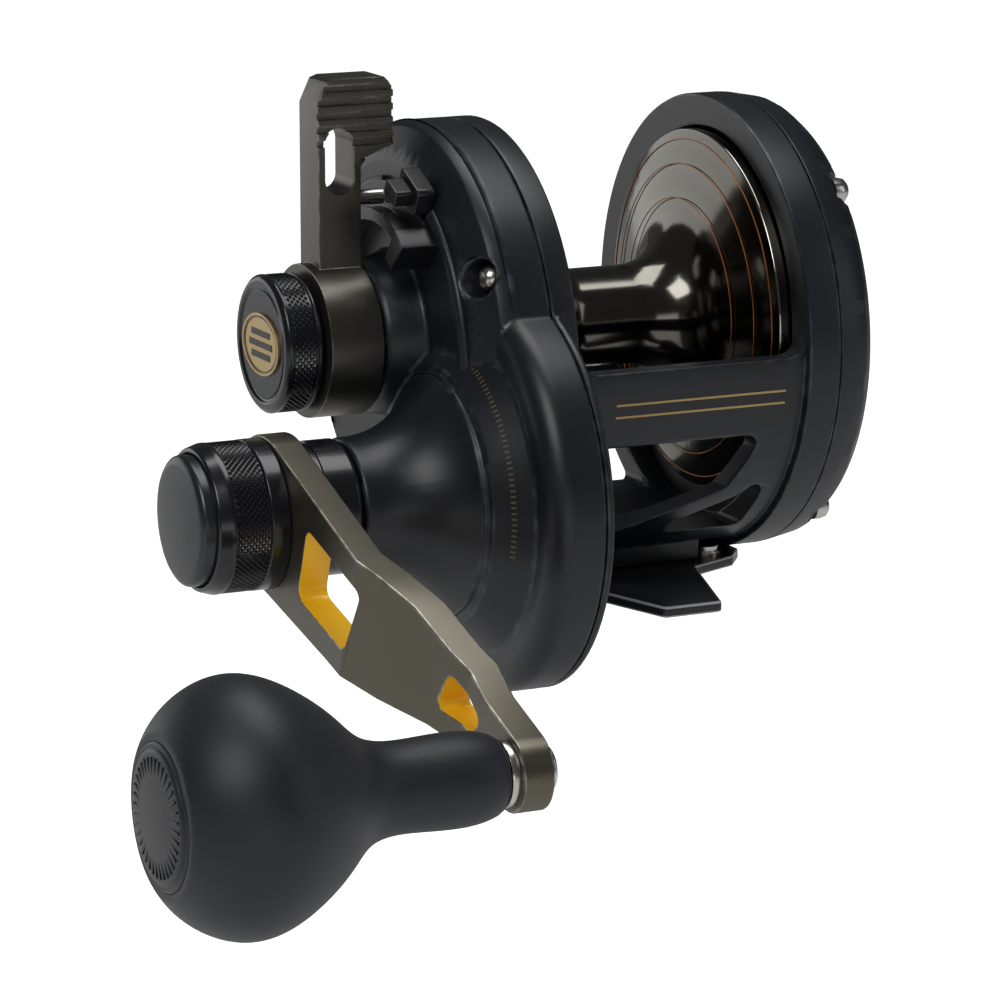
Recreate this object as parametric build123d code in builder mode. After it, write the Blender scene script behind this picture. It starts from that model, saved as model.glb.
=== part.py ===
from build123d import *
import math
import os

os.makedirs("parts", exist_ok=True)

# Two-speed lever-drag trolling reel, in millimetres.
# X is the spool axis direction, +X the tail side and -X the handle side.
# The rod tip is toward -Y, +Z is up, and the origin is the middle of the foot's underside.

# ---- driving dimensions ----
RING_LIFT = 1.204       # lowest point of the tail ring above the foot's underside
SPAN = 35.2             # clear width between the gear-side ring and the tail ring
RING_X = -15.7          # inner face of the gear-side ring
SPOOL_R = 26.2          # spool flange radius
ARBOR_R = 7.2           # spool arbor radius
RECESS = 1.5            # depth of the pocket that hides the flange rim
WEB = 2.3               # gear-side web thickness
LOBE_T = 1.2            # frame thickness behind the gearcase lobe
RIM_WALL = 4.37         # least ring wall round the spool bore
RING_STEP = 1.2         # the gear-side ring is this much smaller than the tail ring
PLATE_Y = 1.0           # side plates' centre, behind the spool axis
PLATE_DROP = 2.1        # side plates' centre, below the spool axis
BAR_WALL = 3.6          # wall of the bars between the rings
TAIL_RING = 5.1         # tail ring width
TAIL_PLATE = 6.4        # tail plate depth
FACE_WALL = 2.1         # tail plate face thickness
SILL = 5.196            # height of the bars below the windows

# gears: both pairs share one centre distance
MODULE = 0.6
PRESSURE = 25.0
HIGH_TEETH = 78
HIGH_PINION = 13
LOW_PINION = 23
LOW_TEETH = HIGH_TEETH + HIGH_PINION - LOW_PINION
BACKLASH = 0.12
GEAR_W = 2.5
GEAR_GAP = 0.3
DRIVE_ANGLE = 225.9     # direction from the spool axis to the handle axis
LOBE_WALL = 3.8         # gearcase wall round the big gear
COVER_WALL = 1.7        # gearcase wall over the big gear
EDGE_R = 3.4            # rounding of the gearcase's outer edge
EDGE_STEPS = 6
COVER_INSET = 3.096     # cover screws' centres, in from the gearcase's edge
TAIL_INSET = 2.2        # tail screws' centres, in from the tail plate's edge

SHAFT_R = 2.2           # spool shaft
DRIVE_R = 3.0           # handle shaft
ROD_R = 1.2             # gear selector rod
BOLT_R = 2.5            # knob bolt shank
RUN = 0.05              # radial clearance of a journal
GAP = 0.3               # clearance between parts that pass each other

BEARING_R = 5.8         # pinion bearings, outer radius
PINION_R = 3.3          # pinion journal radius
PINION_BEARING = 2.1    # pinion bearing width
SPOOL_BEARING_R = 5.3
SPOOL_BEARING = 2.6
DRIVE_BEARING_R = 6.5
DRIVE_BEARING = 3.2

NECK_R = 12.0           # fixed cam under the lever
NECK = 5.8              # its height above the gearcase face
BOSS = 19.2             # handle boss height above the gearcase lobe
BOSS_R = 9.4            # handle boss end radius
BAND_R = 22.6           # foot of the conical band round the boss
LEVER_HUB_R = 10.9
LEVER_HUB = 7.9
LEVER_T = 6.8
LEVER_TIP = 37.0
LEVER_SET = 1.5         # the lever's arm lies this far inside its hub's outer face
PADDLE_GAP = 1.2        # clearance of the lever's paddle over the gearcase face
PRESET_R = 9.8
PRESET = 5.7
TRACK_R = 19.7          # radius of the lever pin's path
PIN_R = 1.1

ARM_LENGTH = 66.0       # handle axis to knob axis
ARM_ANGLE = 199.1       # direction of the arm at rest
ARM_T = 4.3
ARM_SET = 7.4           # inward set of the knob end
HUB_STEP = 0.4          # the arm's hub stands this far past the collar
ARM_END_R = 5.2
BEND_START = 30.0       # where the arm's inward bend starts and ends
BEND_END = 52.0
SLEEVE = 6.8
COLLAR = 10.3
COLLAR_WALL = 1.2
BUTTON_R = 9.0
BUTTON_GAP = 0.2
SHIFT_STROKE = 3.0

BALL_R = 16.6
STEM_R = 4.7
GRIP_LENGTH = 45.2
MEDAL_R = 10.2

FOOT_T = 1.6
FOOT_LENGTH = 70.0
TONGUE_W = 9.0
FOOT_MID = 22.0
WING_Y = 11.0
NUT_SPACING = 28.4
NUT_Y = 7.5

# ---- derived places ----
WEB_X = RING_X - RECESS
PART_X = WEB_X - WEB
LOW_X = PART_X - 0.5
HIGH_X = LOW_X - GEAR_W - GEAR_GAP
CAVITY_X = HIGH_X - GEAR_W - 0.4
FLAT_X = CAVITY_X - COVER_WALL
FACE_X = FLAT_X - 2.6
PADDLE_X = FACE_X - PADDLE_GAP
NECK_X = FACE_X - NECK
LEVER_X = NECK_X - 0.4
PRESET_X = LEVER_X - LEVER_HUB - 0.5
PRESET_FACE_X = PRESET_X - PRESET
BOSS_X = FLAT_X - BOSS
SLEEVE_X = BOSS_X - GAP
ARM_X = SLEEVE_X - SLEEVE
ARM_FACE_X = ARM_X - ARM_T
COLLAR_X = ARM_FACE_X - COLLAR
TAIL_X = RING_X + SPAN
TAIL_PART_X = TAIL_X + TAIL_RING
TAIL_FACE_X = TAIL_PART_X + TAIL_PLATE
MID_X = RING_X + SPAN / 2

BORE_R = SPOOL_R + GAP
TAIL_R = BORE_R + math.hypot(PLATE_Y, PLATE_DROP) + RIM_WALL
PLATE_Z = TAIL_R + RING_LIFT
SPOOL_Z = PLATE_Z + PLATE_DROP
MAIN_R = TAIL_R - RING_STEP
CENTRES = MODULE * (HIGH_TEETH + HIGH_PINION) / 2
DRIVE_Y = CENTRES * math.cos(math.radians(DRIVE_ANGLE))
DRIVE_Z = SPOOL_Z + CENTRES * math.sin(math.radians(DRIVE_ANGLE))
CAVITY_R = MODULE * (HIGH_TEETH + 2) / 2 + 0.4
LOBE_R = CAVITY_R + LOBE_WALL
BUTTON_HOLE_R = BUTTON_R + BUTTON_GAP
COLLAR_R = BUTTON_HOLE_R + COLLAR_WALL
ARM_HUB_R = COLLAR_R + HUB_STEP
ARM_Y = math.cos(math.radians(ARM_ANGLE))
ARM_Z = math.sin(math.radians(ARM_ANGLE))
KNOB_Y = DRIVE_Y + ARM_LENGTH * ARM_Y
KNOB_Z = DRIVE_Z + ARM_LENGTH * ARM_Z

SPOOL_AXIS = Axis((0, 0, SPOOL_Z), (1, 0, 0))
PLATE_AXIS = Axis((0, PLATE_Y, PLATE_Z), (1, 0, 0))
DRIVE_AXIS = Axis((0, DRIVE_Y, DRIVE_Z), (1, 0, 0))
KNOB_AXIS = Axis((0, KNOB_Y, KNOB_Z), (1, 0, 0))


def across(x, y=0.0, z=0.0):
    """Plane square to X: its x runs to the rear and its y runs up."""
    return Plane(origin=(x, y, z), x_dir=(0, 1, 0), z_dir=(1, 0, 0))


def section(points, y=0.0, z=SPOOL_Z):
    """Closed section of (x, radius) points in the plane through an axis parallel to X."""
    plane = Plane(origin=(0, y, z), x_dir=(1, 0, 0), z_dir=(0, -1, 0))
    with BuildSketch(plane) as profile:
        Polygon(*points, align=None)
    return profile.sketch


def tube(x0, x1, outer, inner, y=0.0, z=SPOOL_Z):
    """Section of a ring between two faces and two radii."""
    return section([(x0, inner), (x0, outer), (x1, outer), (x1, inner)], y, z)


def on_plate(radius, angle):
    """Point (y, z) at a radius and angle about the side plates' centre."""
    a = math.radians(angle)
    return (PLATE_Y + radius * math.cos(a), PLATE_Z + radius * math.sin(a))


def on_spool(radius, angle):
    """Point (y, z) at a radius and angle about the spool axis."""
    a = math.radians(angle)
    return (radius * math.cos(a), SPOOL_Z + radius * math.sin(a))


def on_drive(radius, angle):
    """Point (y, z) at a radius and angle about the handle axis."""
    a = math.radians(angle)
    return (DRIVE_Y + radius * math.cos(a), DRIVE_Z + radius * math.sin(a))


def gearcase_outline(x, main_r, lobe_r):
    """Outline of the gear side: two circles, filled to their common tangent below."""
    dy = DRIVE_Y - PLATE_Y
    dz = DRIVE_Z - PLATE_Z
    reach = math.hypot(dy, dz)
    uy = dy / reach
    uz = dz / reach
    c = (main_r - lobe_r) / reach
    s = math.sqrt(1 - c * c)
    ny = c * uy - s * uz
    nz = c * uz + s * uy
    with BuildSketch(across(x)) as outline:
        with Locations((PLATE_Y, PLATE_Z)):
            Circle(main_r)
        with Locations((DRIVE_Y, DRIVE_Z)):
            Circle(lobe_r)
        Polygon(
            (PLATE_Y, PLATE_Z),
            (PLATE_Y + main_r * ny, PLATE_Z + main_r * nz),
            (DRIVE_Y + lobe_r * ny, DRIVE_Z + lobe_r * nz),
            (DRIVE_Y, DRIVE_Z),
            align=None,
        )
    return outline.sketch


def discs(x, points, radius):
    """Equal circles at (y, z) points, on a plane square to X."""
    with BuildSketch(across(x)) as circles:
        with Locations(*points):
            Circle(radius)
    return circles.sketch


def drill(x0, x1, points, radius):
    """Cut equal holes along X through the part being built."""
    add(extrude(discs(x0, points, radius), amount=x1 - x0, mode=Mode.PRIVATE), mode=Mode.SUBTRACT)


def pins(x0, x1, points, radius):
    """Add equal pins along X to the part being built."""
    add(extrude(discs(x0, points, radius), amount=x1 - x0, mode=Mode.PRIVATE))


def bore(profile, axis):
    """Cut a turned section out of the part being built."""
    revolve(profile, axis=axis, mode=Mode.SUBTRACT)


def gear_outline(x, y, z, teeth, phase):
    """Involute gear outline with a tooth on the direction `phase`, in degrees."""
    pitch_r = MODULE * teeth / 2
    tip_r = pitch_r + MODULE
    root_r = pitch_r - 1.25 * MODULE
    alpha = math.radians(PRESSURE)
    base_r = pitch_r * math.cos(alpha)
    low_r = max(base_r, root_r)
    half = math.pi / (2 * teeth) - BACKLASH / (2 * pitch_r) + math.tan(alpha) - alpha
    flank = [(root_r, half)] if root_r < base_r else []
    for step in range(4):
        r = low_r + (tip_r - low_r) * step / 3
        a = math.acos(min(1.0, base_r / r))
        flank.append((r, half - (math.tan(a) - a)))
    points = []
    for tooth in range(teeth):
        middle = math.radians(phase) + 2 * math.pi * tooth / teeth
        for r, spread in flank:
            points.append((r * math.cos(middle - spread), r * math.sin(middle - spread)))
        for r, spread in reversed(flank):
            points.append((r * math.cos(middle + spread), r * math.sin(middle + spread)))
    with BuildSketch(across(x, y, z)) as outline:
        Polygon(*points, align=None)
    return outline.sketch


def spring(x0, x1, radius, wire, turns, y, z):
    """Helical compression spring along X between two faces."""
    length = x1 - x0 - 2 * wire
    path = Helix(
        pitch=length / turns,
        height=length,
        radius=radius,
        center=(x0 + wire, y, z),
        direction=(1, 0, 0),
    )
    with BuildPart() as coil:
        with BuildSketch(Plane(origin=path @ 0, z_dir=path % 0)):
            Circle(wire)
        sweep(path=path, is_frenet=True)
    return coil.part


def save(piece, label):
    """Label a finished piece and write its STEP file."""
    piece.label = label
    export_step(piece, f"parts/{label}.step")


COVER_SCREWS = [on_plate(MAIN_R - COVER_INSET, a) for a in (152.0, 62.0, 14.0, 326.0)]
TAIL_SCREWS = [on_plate(TAIL_R - TAIL_INSET, a) for a in (136.0, 62.0, 352.0, 306.0, 234.0)]
FOOT_SCREWS = [(MID_X + dx, dy) for dx in (-8.5, 8.5) for dy in (-4.8, 4.8)]
NUTS = [(MID_X + dx, dy) for dx in (-NUT_SPACING / 2, NUT_SPACING / 2) for dy in (-NUT_Y, NUT_Y)]
NUT_R = 2.3
SCREW_R = 1.1
HEAD_R = 1.9
POCKET_R = 2.6
SCREW_SEAT_X = FLAT_X + 2.2
TAIL_SEAT_X = TAIL_FACE_X - 2.6

# ---- one-piece frame ----
BAR_R = MAIN_R
SILL_Z = PLATE_Z - BAR_R + SILL
BASE_W = NUT_SPACING - 2 * NUT_R - 0.8
with BuildPart() as frame:
    add(extrude(gearcase_outline(PART_X, MAIN_R, LOBE_R), amount=LOBE_T, mode=Mode.PRIVATE))
    with BuildSketch(across(PART_X, PLATE_Y, PLATE_Z)):
        Circle(MAIN_R)
    extrude(amount=RING_X - PART_X)
    with BuildSketch(across(TAIL_X, PLATE_Y, PLATE_Z)):
        Circle(TAIL_R)
    extrude(amount=TAIL_RING)
    # front bar, rear bar and lower wall are one half tube below the plates' centre
    with BuildSketch(across(RING_X, PLATE_Y, PLATE_Z)):
        Circle(BAR_R)
        Circle(BAR_R - BAR_WALL, mode=Mode.SUBTRACT)
        with Locations((0, BAR_R)):
            Rectangle(3 * BAR_R, 2 * BAR_R, mode=Mode.SUBTRACT)
    extrude(amount=SPAN)
    with Locations((MID_X, 0, FOOT_T)):
        Box(BASE_W, 2 * WING_Y, 4.2, align=(Align.CENTER, Align.CENTER, Align.MIN))
    # slanted struts: an upper window and a lower window, through front and rear
    with BuildSketch(Plane(origin=(0, -60, 0), x_dir=(1, 0, 0), z_dir=(0, -1, 0))):
        with BuildLine():
            FilletPolyline(
                (RING_X + 2.6, PLATE_Z - 11.0),
                (TAIL_X - 5.6, PLATE_Z - 11.0),
                (TAIL_X - 9.2, PLATE_Z - 19.5),
                (RING_X + 8.5, SILL_Z),
                (RING_X + 2.6, SILL_Z),
                radius=1.6,
                close=True,
            )
        make_face()
        with BuildLine():
            FilletPolyline(
                (TAIL_X - 3.0, PLATE_Z - 17.5),
                (TAIL_X - 3.0, SILL_Z),
                (RING_X + 16.0, SILL_Z),
                (TAIL_X - 6.0, PLATE_Z - 20.6),
                radius=1.2,
                close=True,
            )
        make_face()
    extrude(amount=-120, mode=Mode.SUBTRACT)
    # spool bore through the tail ring, flange pocket and pinion bearing seat in the web
    with BuildSketch(across(TAIL_X - 1, 0, SPOOL_Z)):
        Circle(BORE_R)
    extrude(amount=TAIL_RING + 2, mode=Mode.SUBTRACT)
    with BuildSketch(across(WEB_X, 0, SPOOL_Z)):
        Circle(BORE_R)
    extrude(amount=RECESS + 1, mode=Mode.SUBTRACT)
    with BuildSketch(across(PART_X, 0, SPOOL_Z)):
        Circle(BEARING_R)
    extrude(amount=WEB, mode=Mode.SUBTRACT)
    # clearance over the clamp nuts
    with BuildSketch(Plane.XY.offset(FOOT_T)):
        with Locations(*NUTS):
            Circle(NUT_R + GAP)
    extrude(amount=1.2 + GAP, mode=Mode.SUBTRACT)
    # blind journal for the inner end of the handle shaft
    with BuildSketch(across(PART_X, DRIVE_Y, DRIVE_Z)):
        Circle(DRIVE_R - 0.5 + RUN)
    extrude(amount=1.4, mode=Mode.SUBTRACT)
    # flat seat for the foot under the tail ring
    with Locations((RING_X, 0, FOOT_T)):
        Box(2 * SPAN, 60, 10, align=(Align.MIN, Align.CENTER, Align.MAX), mode=Mode.SUBTRACT)
    drill(PART_X, PART_X + 2.6, COVER_SCREWS, SCREW_R)
    drill(TAIL_PART_X - 4.0, TAIL_PART_X, TAIL_SCREWS, SCREW_R)
    with BuildSketch(Plane.XY.offset(FOOT_T)):
        with Locations(*FOOT_SCREWS):
            Circle(SCREW_R)
    extrude(amount=3.0, mode=Mode.SUBTRACT)
save(frame.part, "frame")

# ---- reel foot, screws and clamp nuts ----
WING_X0 = RING_X + GAP
WING_X1 = TAIL_X + 2.4
with BuildPart() as foot:
    with BuildSketch(Plane.XY):
        with BuildLine():
            FilletPolyline(
                (-TONGUE_W / 2, -FOOT_LENGTH / 2),
                (TONGUE_W / 2, -FOOT_LENGTH / 2),
                (FOOT_MID / 2, -WING_Y - 3.5),
                (WING_X1 - 3, -WING_Y),
                (WING_X1, -WING_Y + 4),
                (WING_X1, WING_Y - 4),
                (WING_X1 - 3, WING_Y),
                (FOOT_MID / 2, WING_Y + 3.5),
                (TONGUE_W / 2, FOOT_LENGTH / 2),
                (-TONGUE_W / 2, FOOT_LENGTH / 2),
                (-FOOT_MID / 2, WING_Y + 3.5),
                (WING_X0, WING_Y),
                (WING_X0, -WING_Y),
                (-FOOT_MID / 2, -WING_Y - 3.5),
                radius=1.0,
                close=True,
            )
        make_face()
    extrude(amount=FOOT_T)
    with BuildSketch(Plane.XY):
        with Locations(*FOOT_SCREWS):
            Circle(SCREW_R)
        with Locations(*NUTS):
            Circle(1.5)
    extrude(amount=FOOT_T, mode=Mode.SUBTRACT)
    with Locations(*[(x, y, 0.0) for x, y in FOOT_SCREWS]):
        Cone(2.2, SCREW_R, 1.1, align=(Align.CENTER, Align.CENTER, Align.MIN), mode=Mode.SUBTRACT)
save(foot.part, "reel_foot")

with BuildPart() as foot_screws:
    with Locations(*[(x, y, 0.0) for x, y in FOOT_SCREWS]):
        Cone(2.2, SCREW_R, 1.1, align=(Align.CENTER, Align.CENTER, Align.MIN))
        Cylinder(SCREW_R, FOOT_T + 2.8, align=(Align.CENTER, Align.CENTER, Align.MIN))
        Cylinder(0.9, 0.6, align=(Align.CENTER, Align.CENTER, Align.MIN), mode=Mode.SUBTRACT)
save(foot_screws.part, "foot_screws")

with BuildPart() as clamp_nuts:
    with Locations(*[(x, y, FOOT_T) for x, y in NUTS]):
        Cylinder(NUT_R, 0.5, align=(Align.CENTER, Align.CENTER, Align.MIN))
        Cylinder(1.9, 1.2, align=(Align.CENTER, Align.CENTER, Align.MIN))
    with Locations(*[(x, y, 0.0) for x, y in NUTS]):
        Cylinder(1.5, FOOT_T, align=(Align.CENTER, Align.CENTER, Align.MIN))
        Cylinder(0.9, FOOT_T + 0.6, align=(Align.CENTER, Align.CENTER, Align.MIN), mode=Mode.SUBTRACT)
    fillet(clamp_nuts.faces().sort_by(Axis.Z)[-1].edges(), 0.5)
save(clamp_nuts.part, "clamp_nuts")

# ---- gearcase cover ----
RATCHET_R = 13.6
RATCHET_X = CAVITY_X - 3.9
with BuildPart() as cover:
    rim = [gearcase_outline(PART_X, MAIN_R, LOBE_R)]
    for step in range(EDGE_STEPS + 1):
        turn = math.radians(90 * step / EDGE_STEPS)
        inset = EDGE_R * (1 - math.cos(turn))
        rim_x = FLAT_X + EDGE_R * (1 - math.sin(turn))
        rim.append(gearcase_outline(rim_x, MAIN_R - inset, LOBE_R - inset))
    add(loft(rim, ruled=True, mode=Mode.PRIVATE))
    # bevelled main face and the fixed cam under the lever
    main = [
        (PART_X, 0),
        (PART_X, MAIN_R - 3),
        (FLAT_X + 2.2, MAIN_R),
        (FLAT_X + 0.6, MAIN_R - 0.5),
        (FLAT_X + 0.2, MAIN_R - 0.9),
        (FACE_X, MAIN_R - 5.8),
        (FACE_X, 0),
    ]
    revolve(section(main, PLATE_Y, PLATE_Z), axis=PLATE_AXIS)
    neck = [(FACE_X, 0), (FACE_X, NECK_R), (NECK_X + 1, NECK_R - 1.2), (NECK_X, NECK_R - 2), (NECK_X, 0)]
    revolve(section(neck), axis=SPOOL_AXIS)
    # conical band, groove and bell-shaped boss on the handle axis
    band = [
        (FLAT_X + 2.0, 0),
        (FLAT_X + 2.0, BAND_R),
        (FLAT_X, BAND_R),
        (FLAT_X - 4.6, BAND_R - 4.6),
        (FLAT_X - 4.6, 0),
    ]
    revolve(section(band, DRIVE_Y, DRIVE_Z), axis=DRIVE_AXIS)
    with BuildSketch(Plane(origin=(0, DRIVE_Y, DRIVE_Z), x_dir=(1, 0, 0), z_dir=(0, -1, 0))):
        with BuildLine():
            Line((FLAT_X, 0), (FLAT_X, BAND_R - 5.4))
            Line((FLAT_X, BAND_R - 5.4), (FLAT_X - 5.2, BAND_R - 5.4))
            ThreePointArc(
                (FLAT_X - 5.2, BAND_R - 5.4),
                (FLAT_X - 10.2, BOSS_R + 2.3),
                (BOSS_X + 1.5, BOSS_R),
            )
            Line((BOSS_X + 1.5, BOSS_R), (BOSS_X, BOSS_R))
            Line((BOSS_X, BOSS_R), (BOSS_X, 0))
            Line((BOSS_X, 0), (FLAT_X, 0))
        make_face()
    revolve(axis=DRIVE_AXIS)
    # gear cavity and pinion cavity
    bore(tube(PART_X, CAVITY_X, CAVITY_R, 0, DRIVE_Y, DRIVE_Z), DRIVE_AXIS)
    bore(tube(PART_X, CAVITY_X - 0.8, 21.0, 0), SPOOL_AXIS)
    bore(tube(CAVITY_X - 0.8, CAVITY_X - 0.8 - PINION_BEARING, BEARING_R, 0), SPOOL_AXIS)
    bore(tube(PART_X, NECK_X, PINION_R + GAP, 0), SPOOL_AXIS)
    # ratchet chamber, shaft bore and outer bearing seat
    bore(tube(PART_X, RATCHET_X, RATCHET_R, 0, DRIVE_Y, DRIVE_Z), DRIVE_AXIS)
    bore(tube(PART_X, BOSS_X, DRIVE_R + 1.0, 0, DRIVE_Y, DRIVE_Z), DRIVE_AXIS)
    bore(tube(BOSS_X, BOSS_X + 1.3 + DRIVE_BEARING, DRIVE_BEARING_R, 0, DRIVE_Y, DRIVE_Z), DRIVE_AXIS)
    drill(PART_X, FLAT_X, COVER_SCREWS, SCREW_R)
    drill(SCREW_SEAT_X, SCREW_SEAT_X - 9, COVER_SCREWS, POCKET_R)
save(cover.part, "gearcase_cover")

with BuildPart() as cover_screws:
    pins(PART_X + 2.4, SCREW_SEAT_X, COVER_SCREWS, SCREW_R)
    pins(SCREW_SEAT_X, SCREW_SEAT_X - 1.5, COVER_SCREWS, HEAD_R)
    drill(SCREW_SEAT_X - 1.5, SCREW_SEAT_X - 0.7, COVER_SCREWS, 0.8)
save(cover_screws.part, "cover_screws")

# ---- tail plate ----
with BuildPart() as tail_plate:
    shell = [
        (TAIL_PART_X, 0),
        (TAIL_PART_X, TAIL_R),
        (TAIL_FACE_X - 2.1, TAIL_R - 0.8),
        (TAIL_FACE_X - 0.7, TAIL_R - 2.0),
        (TAIL_FACE_X, TAIL_R - 4.0),
        (TAIL_FACE_X, 0),
    ]
    revolve(section(shell, PLATE_Y, PLATE_Z), axis=PLATE_AXIS)
    bore(tube(TAIL_PART_X, TAIL_FACE_X - FACE_WALL, SPOOL_R - 3.2, 0), SPOOL_AXIS)
    revolve(tube(TAIL_FACE_X - FACE_WALL - 3.0, TAIL_FACE_X + 1.6, SHAFT_R + 3.2, 0), axis=SPOOL_AXIS)
    bore(tube(TAIL_PART_X - 1, TAIL_FACE_X + 0.4, SHAFT_R + 1.2, 0), SPOOL_AXIS)
    drill(TAIL_PART_X, TAIL_FACE_X, TAIL_SCREWS, SCREW_R)
    drill(TAIL_SEAT_X, TAIL_SEAT_X + 9, TAIL_SCREWS, POCKET_R)
    # straight slot for the click slider, below the axis toward the rear
    with BuildSketch(across(TAIL_FACE_X - FACE_WALL, 0, SPOOL_Z - 16.2)):
        Rectangle(3.6, 9.2)
    extrude(amount=FACE_WALL, mode=Mode.SUBTRACT)
save(tail_plate.part, "tail_plate")

with BuildPart() as tail_screws:
    pins(TAIL_PART_X - 3.8, TAIL_SEAT_X, TAIL_SCREWS, SCREW_R)
    pins(TAIL_SEAT_X, TAIL_SEAT_X + 1.5, TAIL_SCREWS, HEAD_R)
    drill(TAIL_SEAT_X + 0.7, TAIL_SEAT_X + 1.5, TAIL_SCREWS, 0.8)
save(tail_screws.part, "tail_screws")

with BuildPart() as tail_bush:
    bush_x = TAIL_FACE_X - FACE_WALL - 3.0
    revolve(tube(bush_x, TAIL_FACE_X + 0.4, SHAFT_R + 1.2, SHAFT_R + RUN), axis=SPOOL_AXIS)
save(tail_bush.part, "tail_bush")

# ---- click: slider, tongue and the toothed wheel on the spool ----
CLICK_TEETH = 24
CLICK_R = 9.0
CLICK_X = TAIL_PART_X - 1.0
CLICK_STROKE = 3.0
SLIDER_Z = SPOOL_Z - 18.6
with BuildPart() as click_slider:
    with BuildSketch(across(TAIL_FACE_X + GAP, 0, SLIDER_Z)):
        RectangleRounded(6.4, 4.6, 1.2)
    extrude(amount=1.6)
    with BuildSketch(across(TAIL_FACE_X - FACE_WALL - 1.5, 0, SLIDER_Z)):
        Rectangle(3.0, 3.6)
    extrude(amount=FACE_WALL + 1.5 + GAP)
    with BuildSketch(across(TAIL_FACE_X + GAP + 1.6, 0, SLIDER_Z)):
        with GridLocations(0, 1.2, 1, 3):
            Rectangle(5.2, 0.5)
    extrude(amount=-0.5, mode=Mode.SUBTRACT)
save(click_slider.part, "click_slider")

TONGUE_TIP = SPOOL_Z - CLICK_R + 0.4 - CLICK_STROKE
with BuildPart() as click_tongue:
    with BuildSketch(across(TAIL_FACE_X - FACE_WALL - 1.5, 0, 0)):
        Polygon(
            (-1.5, SLIDER_Z - 1.8),
            (1.5, SLIDER_Z - 1.8),
            (1.5, TONGUE_TIP - 3.6),
            (0.25, TONGUE_TIP),
            (-0.25, TONGUE_TIP),
            (-1.5, TONGUE_TIP - 3.6),
            align=None,
        )
    extrude(amount=CLICK_X + 0.3 - (TAIL_FACE_X - FACE_WALL - 1.5))
save(click_tongue.part, "click_tongue")

with BuildPart() as click_wheel:
    with BuildSketch(across(CLICK_X, 0, SPOOL_Z)):
        Circle(CLICK_R)
        with PolarLocations(CLICK_R, CLICK_TEETH, start_angle=-90):
            RegularPolygon(0.95, 3, rotation=180, mode=Mode.SUBTRACT)
        Circle(SHAFT_R + GAP + 0.5, mode=Mode.SUBTRACT)
    extrude(amount=1.6)
save(click_wheel.part, "click_wheel")

# ---- spool ----
FLANGE_X = WEB_X + 0.8
CUP_R = 20.6
CUP_X = FLANGE_X + 3.8
TAIL_RIM_X = TAIL_X - 1.6
TAIL_HUB_X = CLICK_X
POCKET_X0 = CUP_X + SPOOL_BEARING
POCKET_X1 = TAIL_HUB_X - SPOOL_BEARING - 0.6
with BuildPart() as spool:
    with BuildSketch(Plane(origin=(0, 0, SPOOL_Z), x_dir=(1, 0, 0), z_dir=(0, -1, 0))):
        with BuildLine():
            Line((FLANGE_X, 0), (FLANGE_X, SPOOL_R))
            Line((FLANGE_X, SPOOL_R), (FLANGE_X + 1.9, SPOOL_R))
            Line((FLANGE_X + 1.9, SPOOL_R), (CUP_X + 1.5, CUP_R))
            Line((CUP_X + 1.5, CUP_R), (CUP_X + 2.4, ARBOR_R + 8.0))
            ThreePointArc(
                (CUP_X + 2.4, ARBOR_R + 8.0),
                (CUP_X + 4.8, ARBOR_R + 2.0),
                (CUP_X + 9.8, ARBOR_R),
            )
            Line((CUP_X + 9.8, ARBOR_R), (TAIL_RIM_X - 12.2, ARBOR_R))
            ThreePointArc(
                (TAIL_RIM_X - 12.2, ARBOR_R),
                (TAIL_RIM_X - 5.4, ARBOR_R + 2.5),
                (TAIL_RIM_X - 2.3, ARBOR_R + 8.0),
            )
            Line((TAIL_RIM_X - 2.3, ARBOR_R + 8.0), (TAIL_RIM_X - 1.0, SPOOL_R - 3.4))
            Line((TAIL_RIM_X - 1.0, SPOOL_R - 3.4), (TAIL_RIM_X, SPOOL_R))
            Line((TAIL_RIM_X, SPOOL_R), (TAIL_RIM_X + 2.6, SPOOL_R))
            Line((TAIL_RIM_X + 2.6, SPOOL_R), (TAIL_RIM_X + 2.6, 0))
            Line((TAIL_RIM_X + 2.6, 0), (FLANGE_X, 0))
        make_face()
    revolve(axis=SPOOL_AXIS)
    revolve(tube(TAIL_RIM_X + 2.6, TAIL_HUB_X, ARBOR_R + 0.3, 0), axis=SPOOL_AXIS)
    bore(tube(TAIL_RIM_X + 0.9, TAIL_RIM_X + 2.6, SPOOL_R - 2.2, ARBOR_R + 5.0), SPOOL_AXIS)
    bore(tube(FLANGE_X, CUP_X, CUP_R, 0), SPOOL_AXIS)
    bore(tube(FLANGE_X, TAIL_HUB_X, SHAFT_R + 0.8, 0), SPOOL_AXIS)
    bore(tube(CUP_X, POCKET_X0, SPOOL_BEARING_R, 0), SPOOL_AXIS)
    bore(tube(POCKET_X1, TAIL_HUB_X, SPOOL_BEARING_R, 0), SPOOL_AXIS)
save(spool.part, "spool")

with BuildPart() as spool_bearings:
    revolve(tube(CUP_X + 0.2, POCKET_X0, SPOOL_BEARING_R, SHAFT_R + RUN), axis=SPOOL_AXIS)
    revolve(tube(POCKET_X1, POCKET_X1 + SPOOL_BEARING, SPOOL_BEARING_R, SHAFT_R + RUN), axis=SPOOL_AXIS)
save(spool_bearings.part, "spool_bearings")

WASHER_T = 1.0
DRAG_GAP = 0.16
with BuildPart() as drag_washer:
    revolve(tube(CUP_X - WASHER_T, CUP_X, CUP_R - 0.4, 8.4), axis=SPOOL_AXIS)
save(drag_washer.part, "drag_washer")

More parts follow.
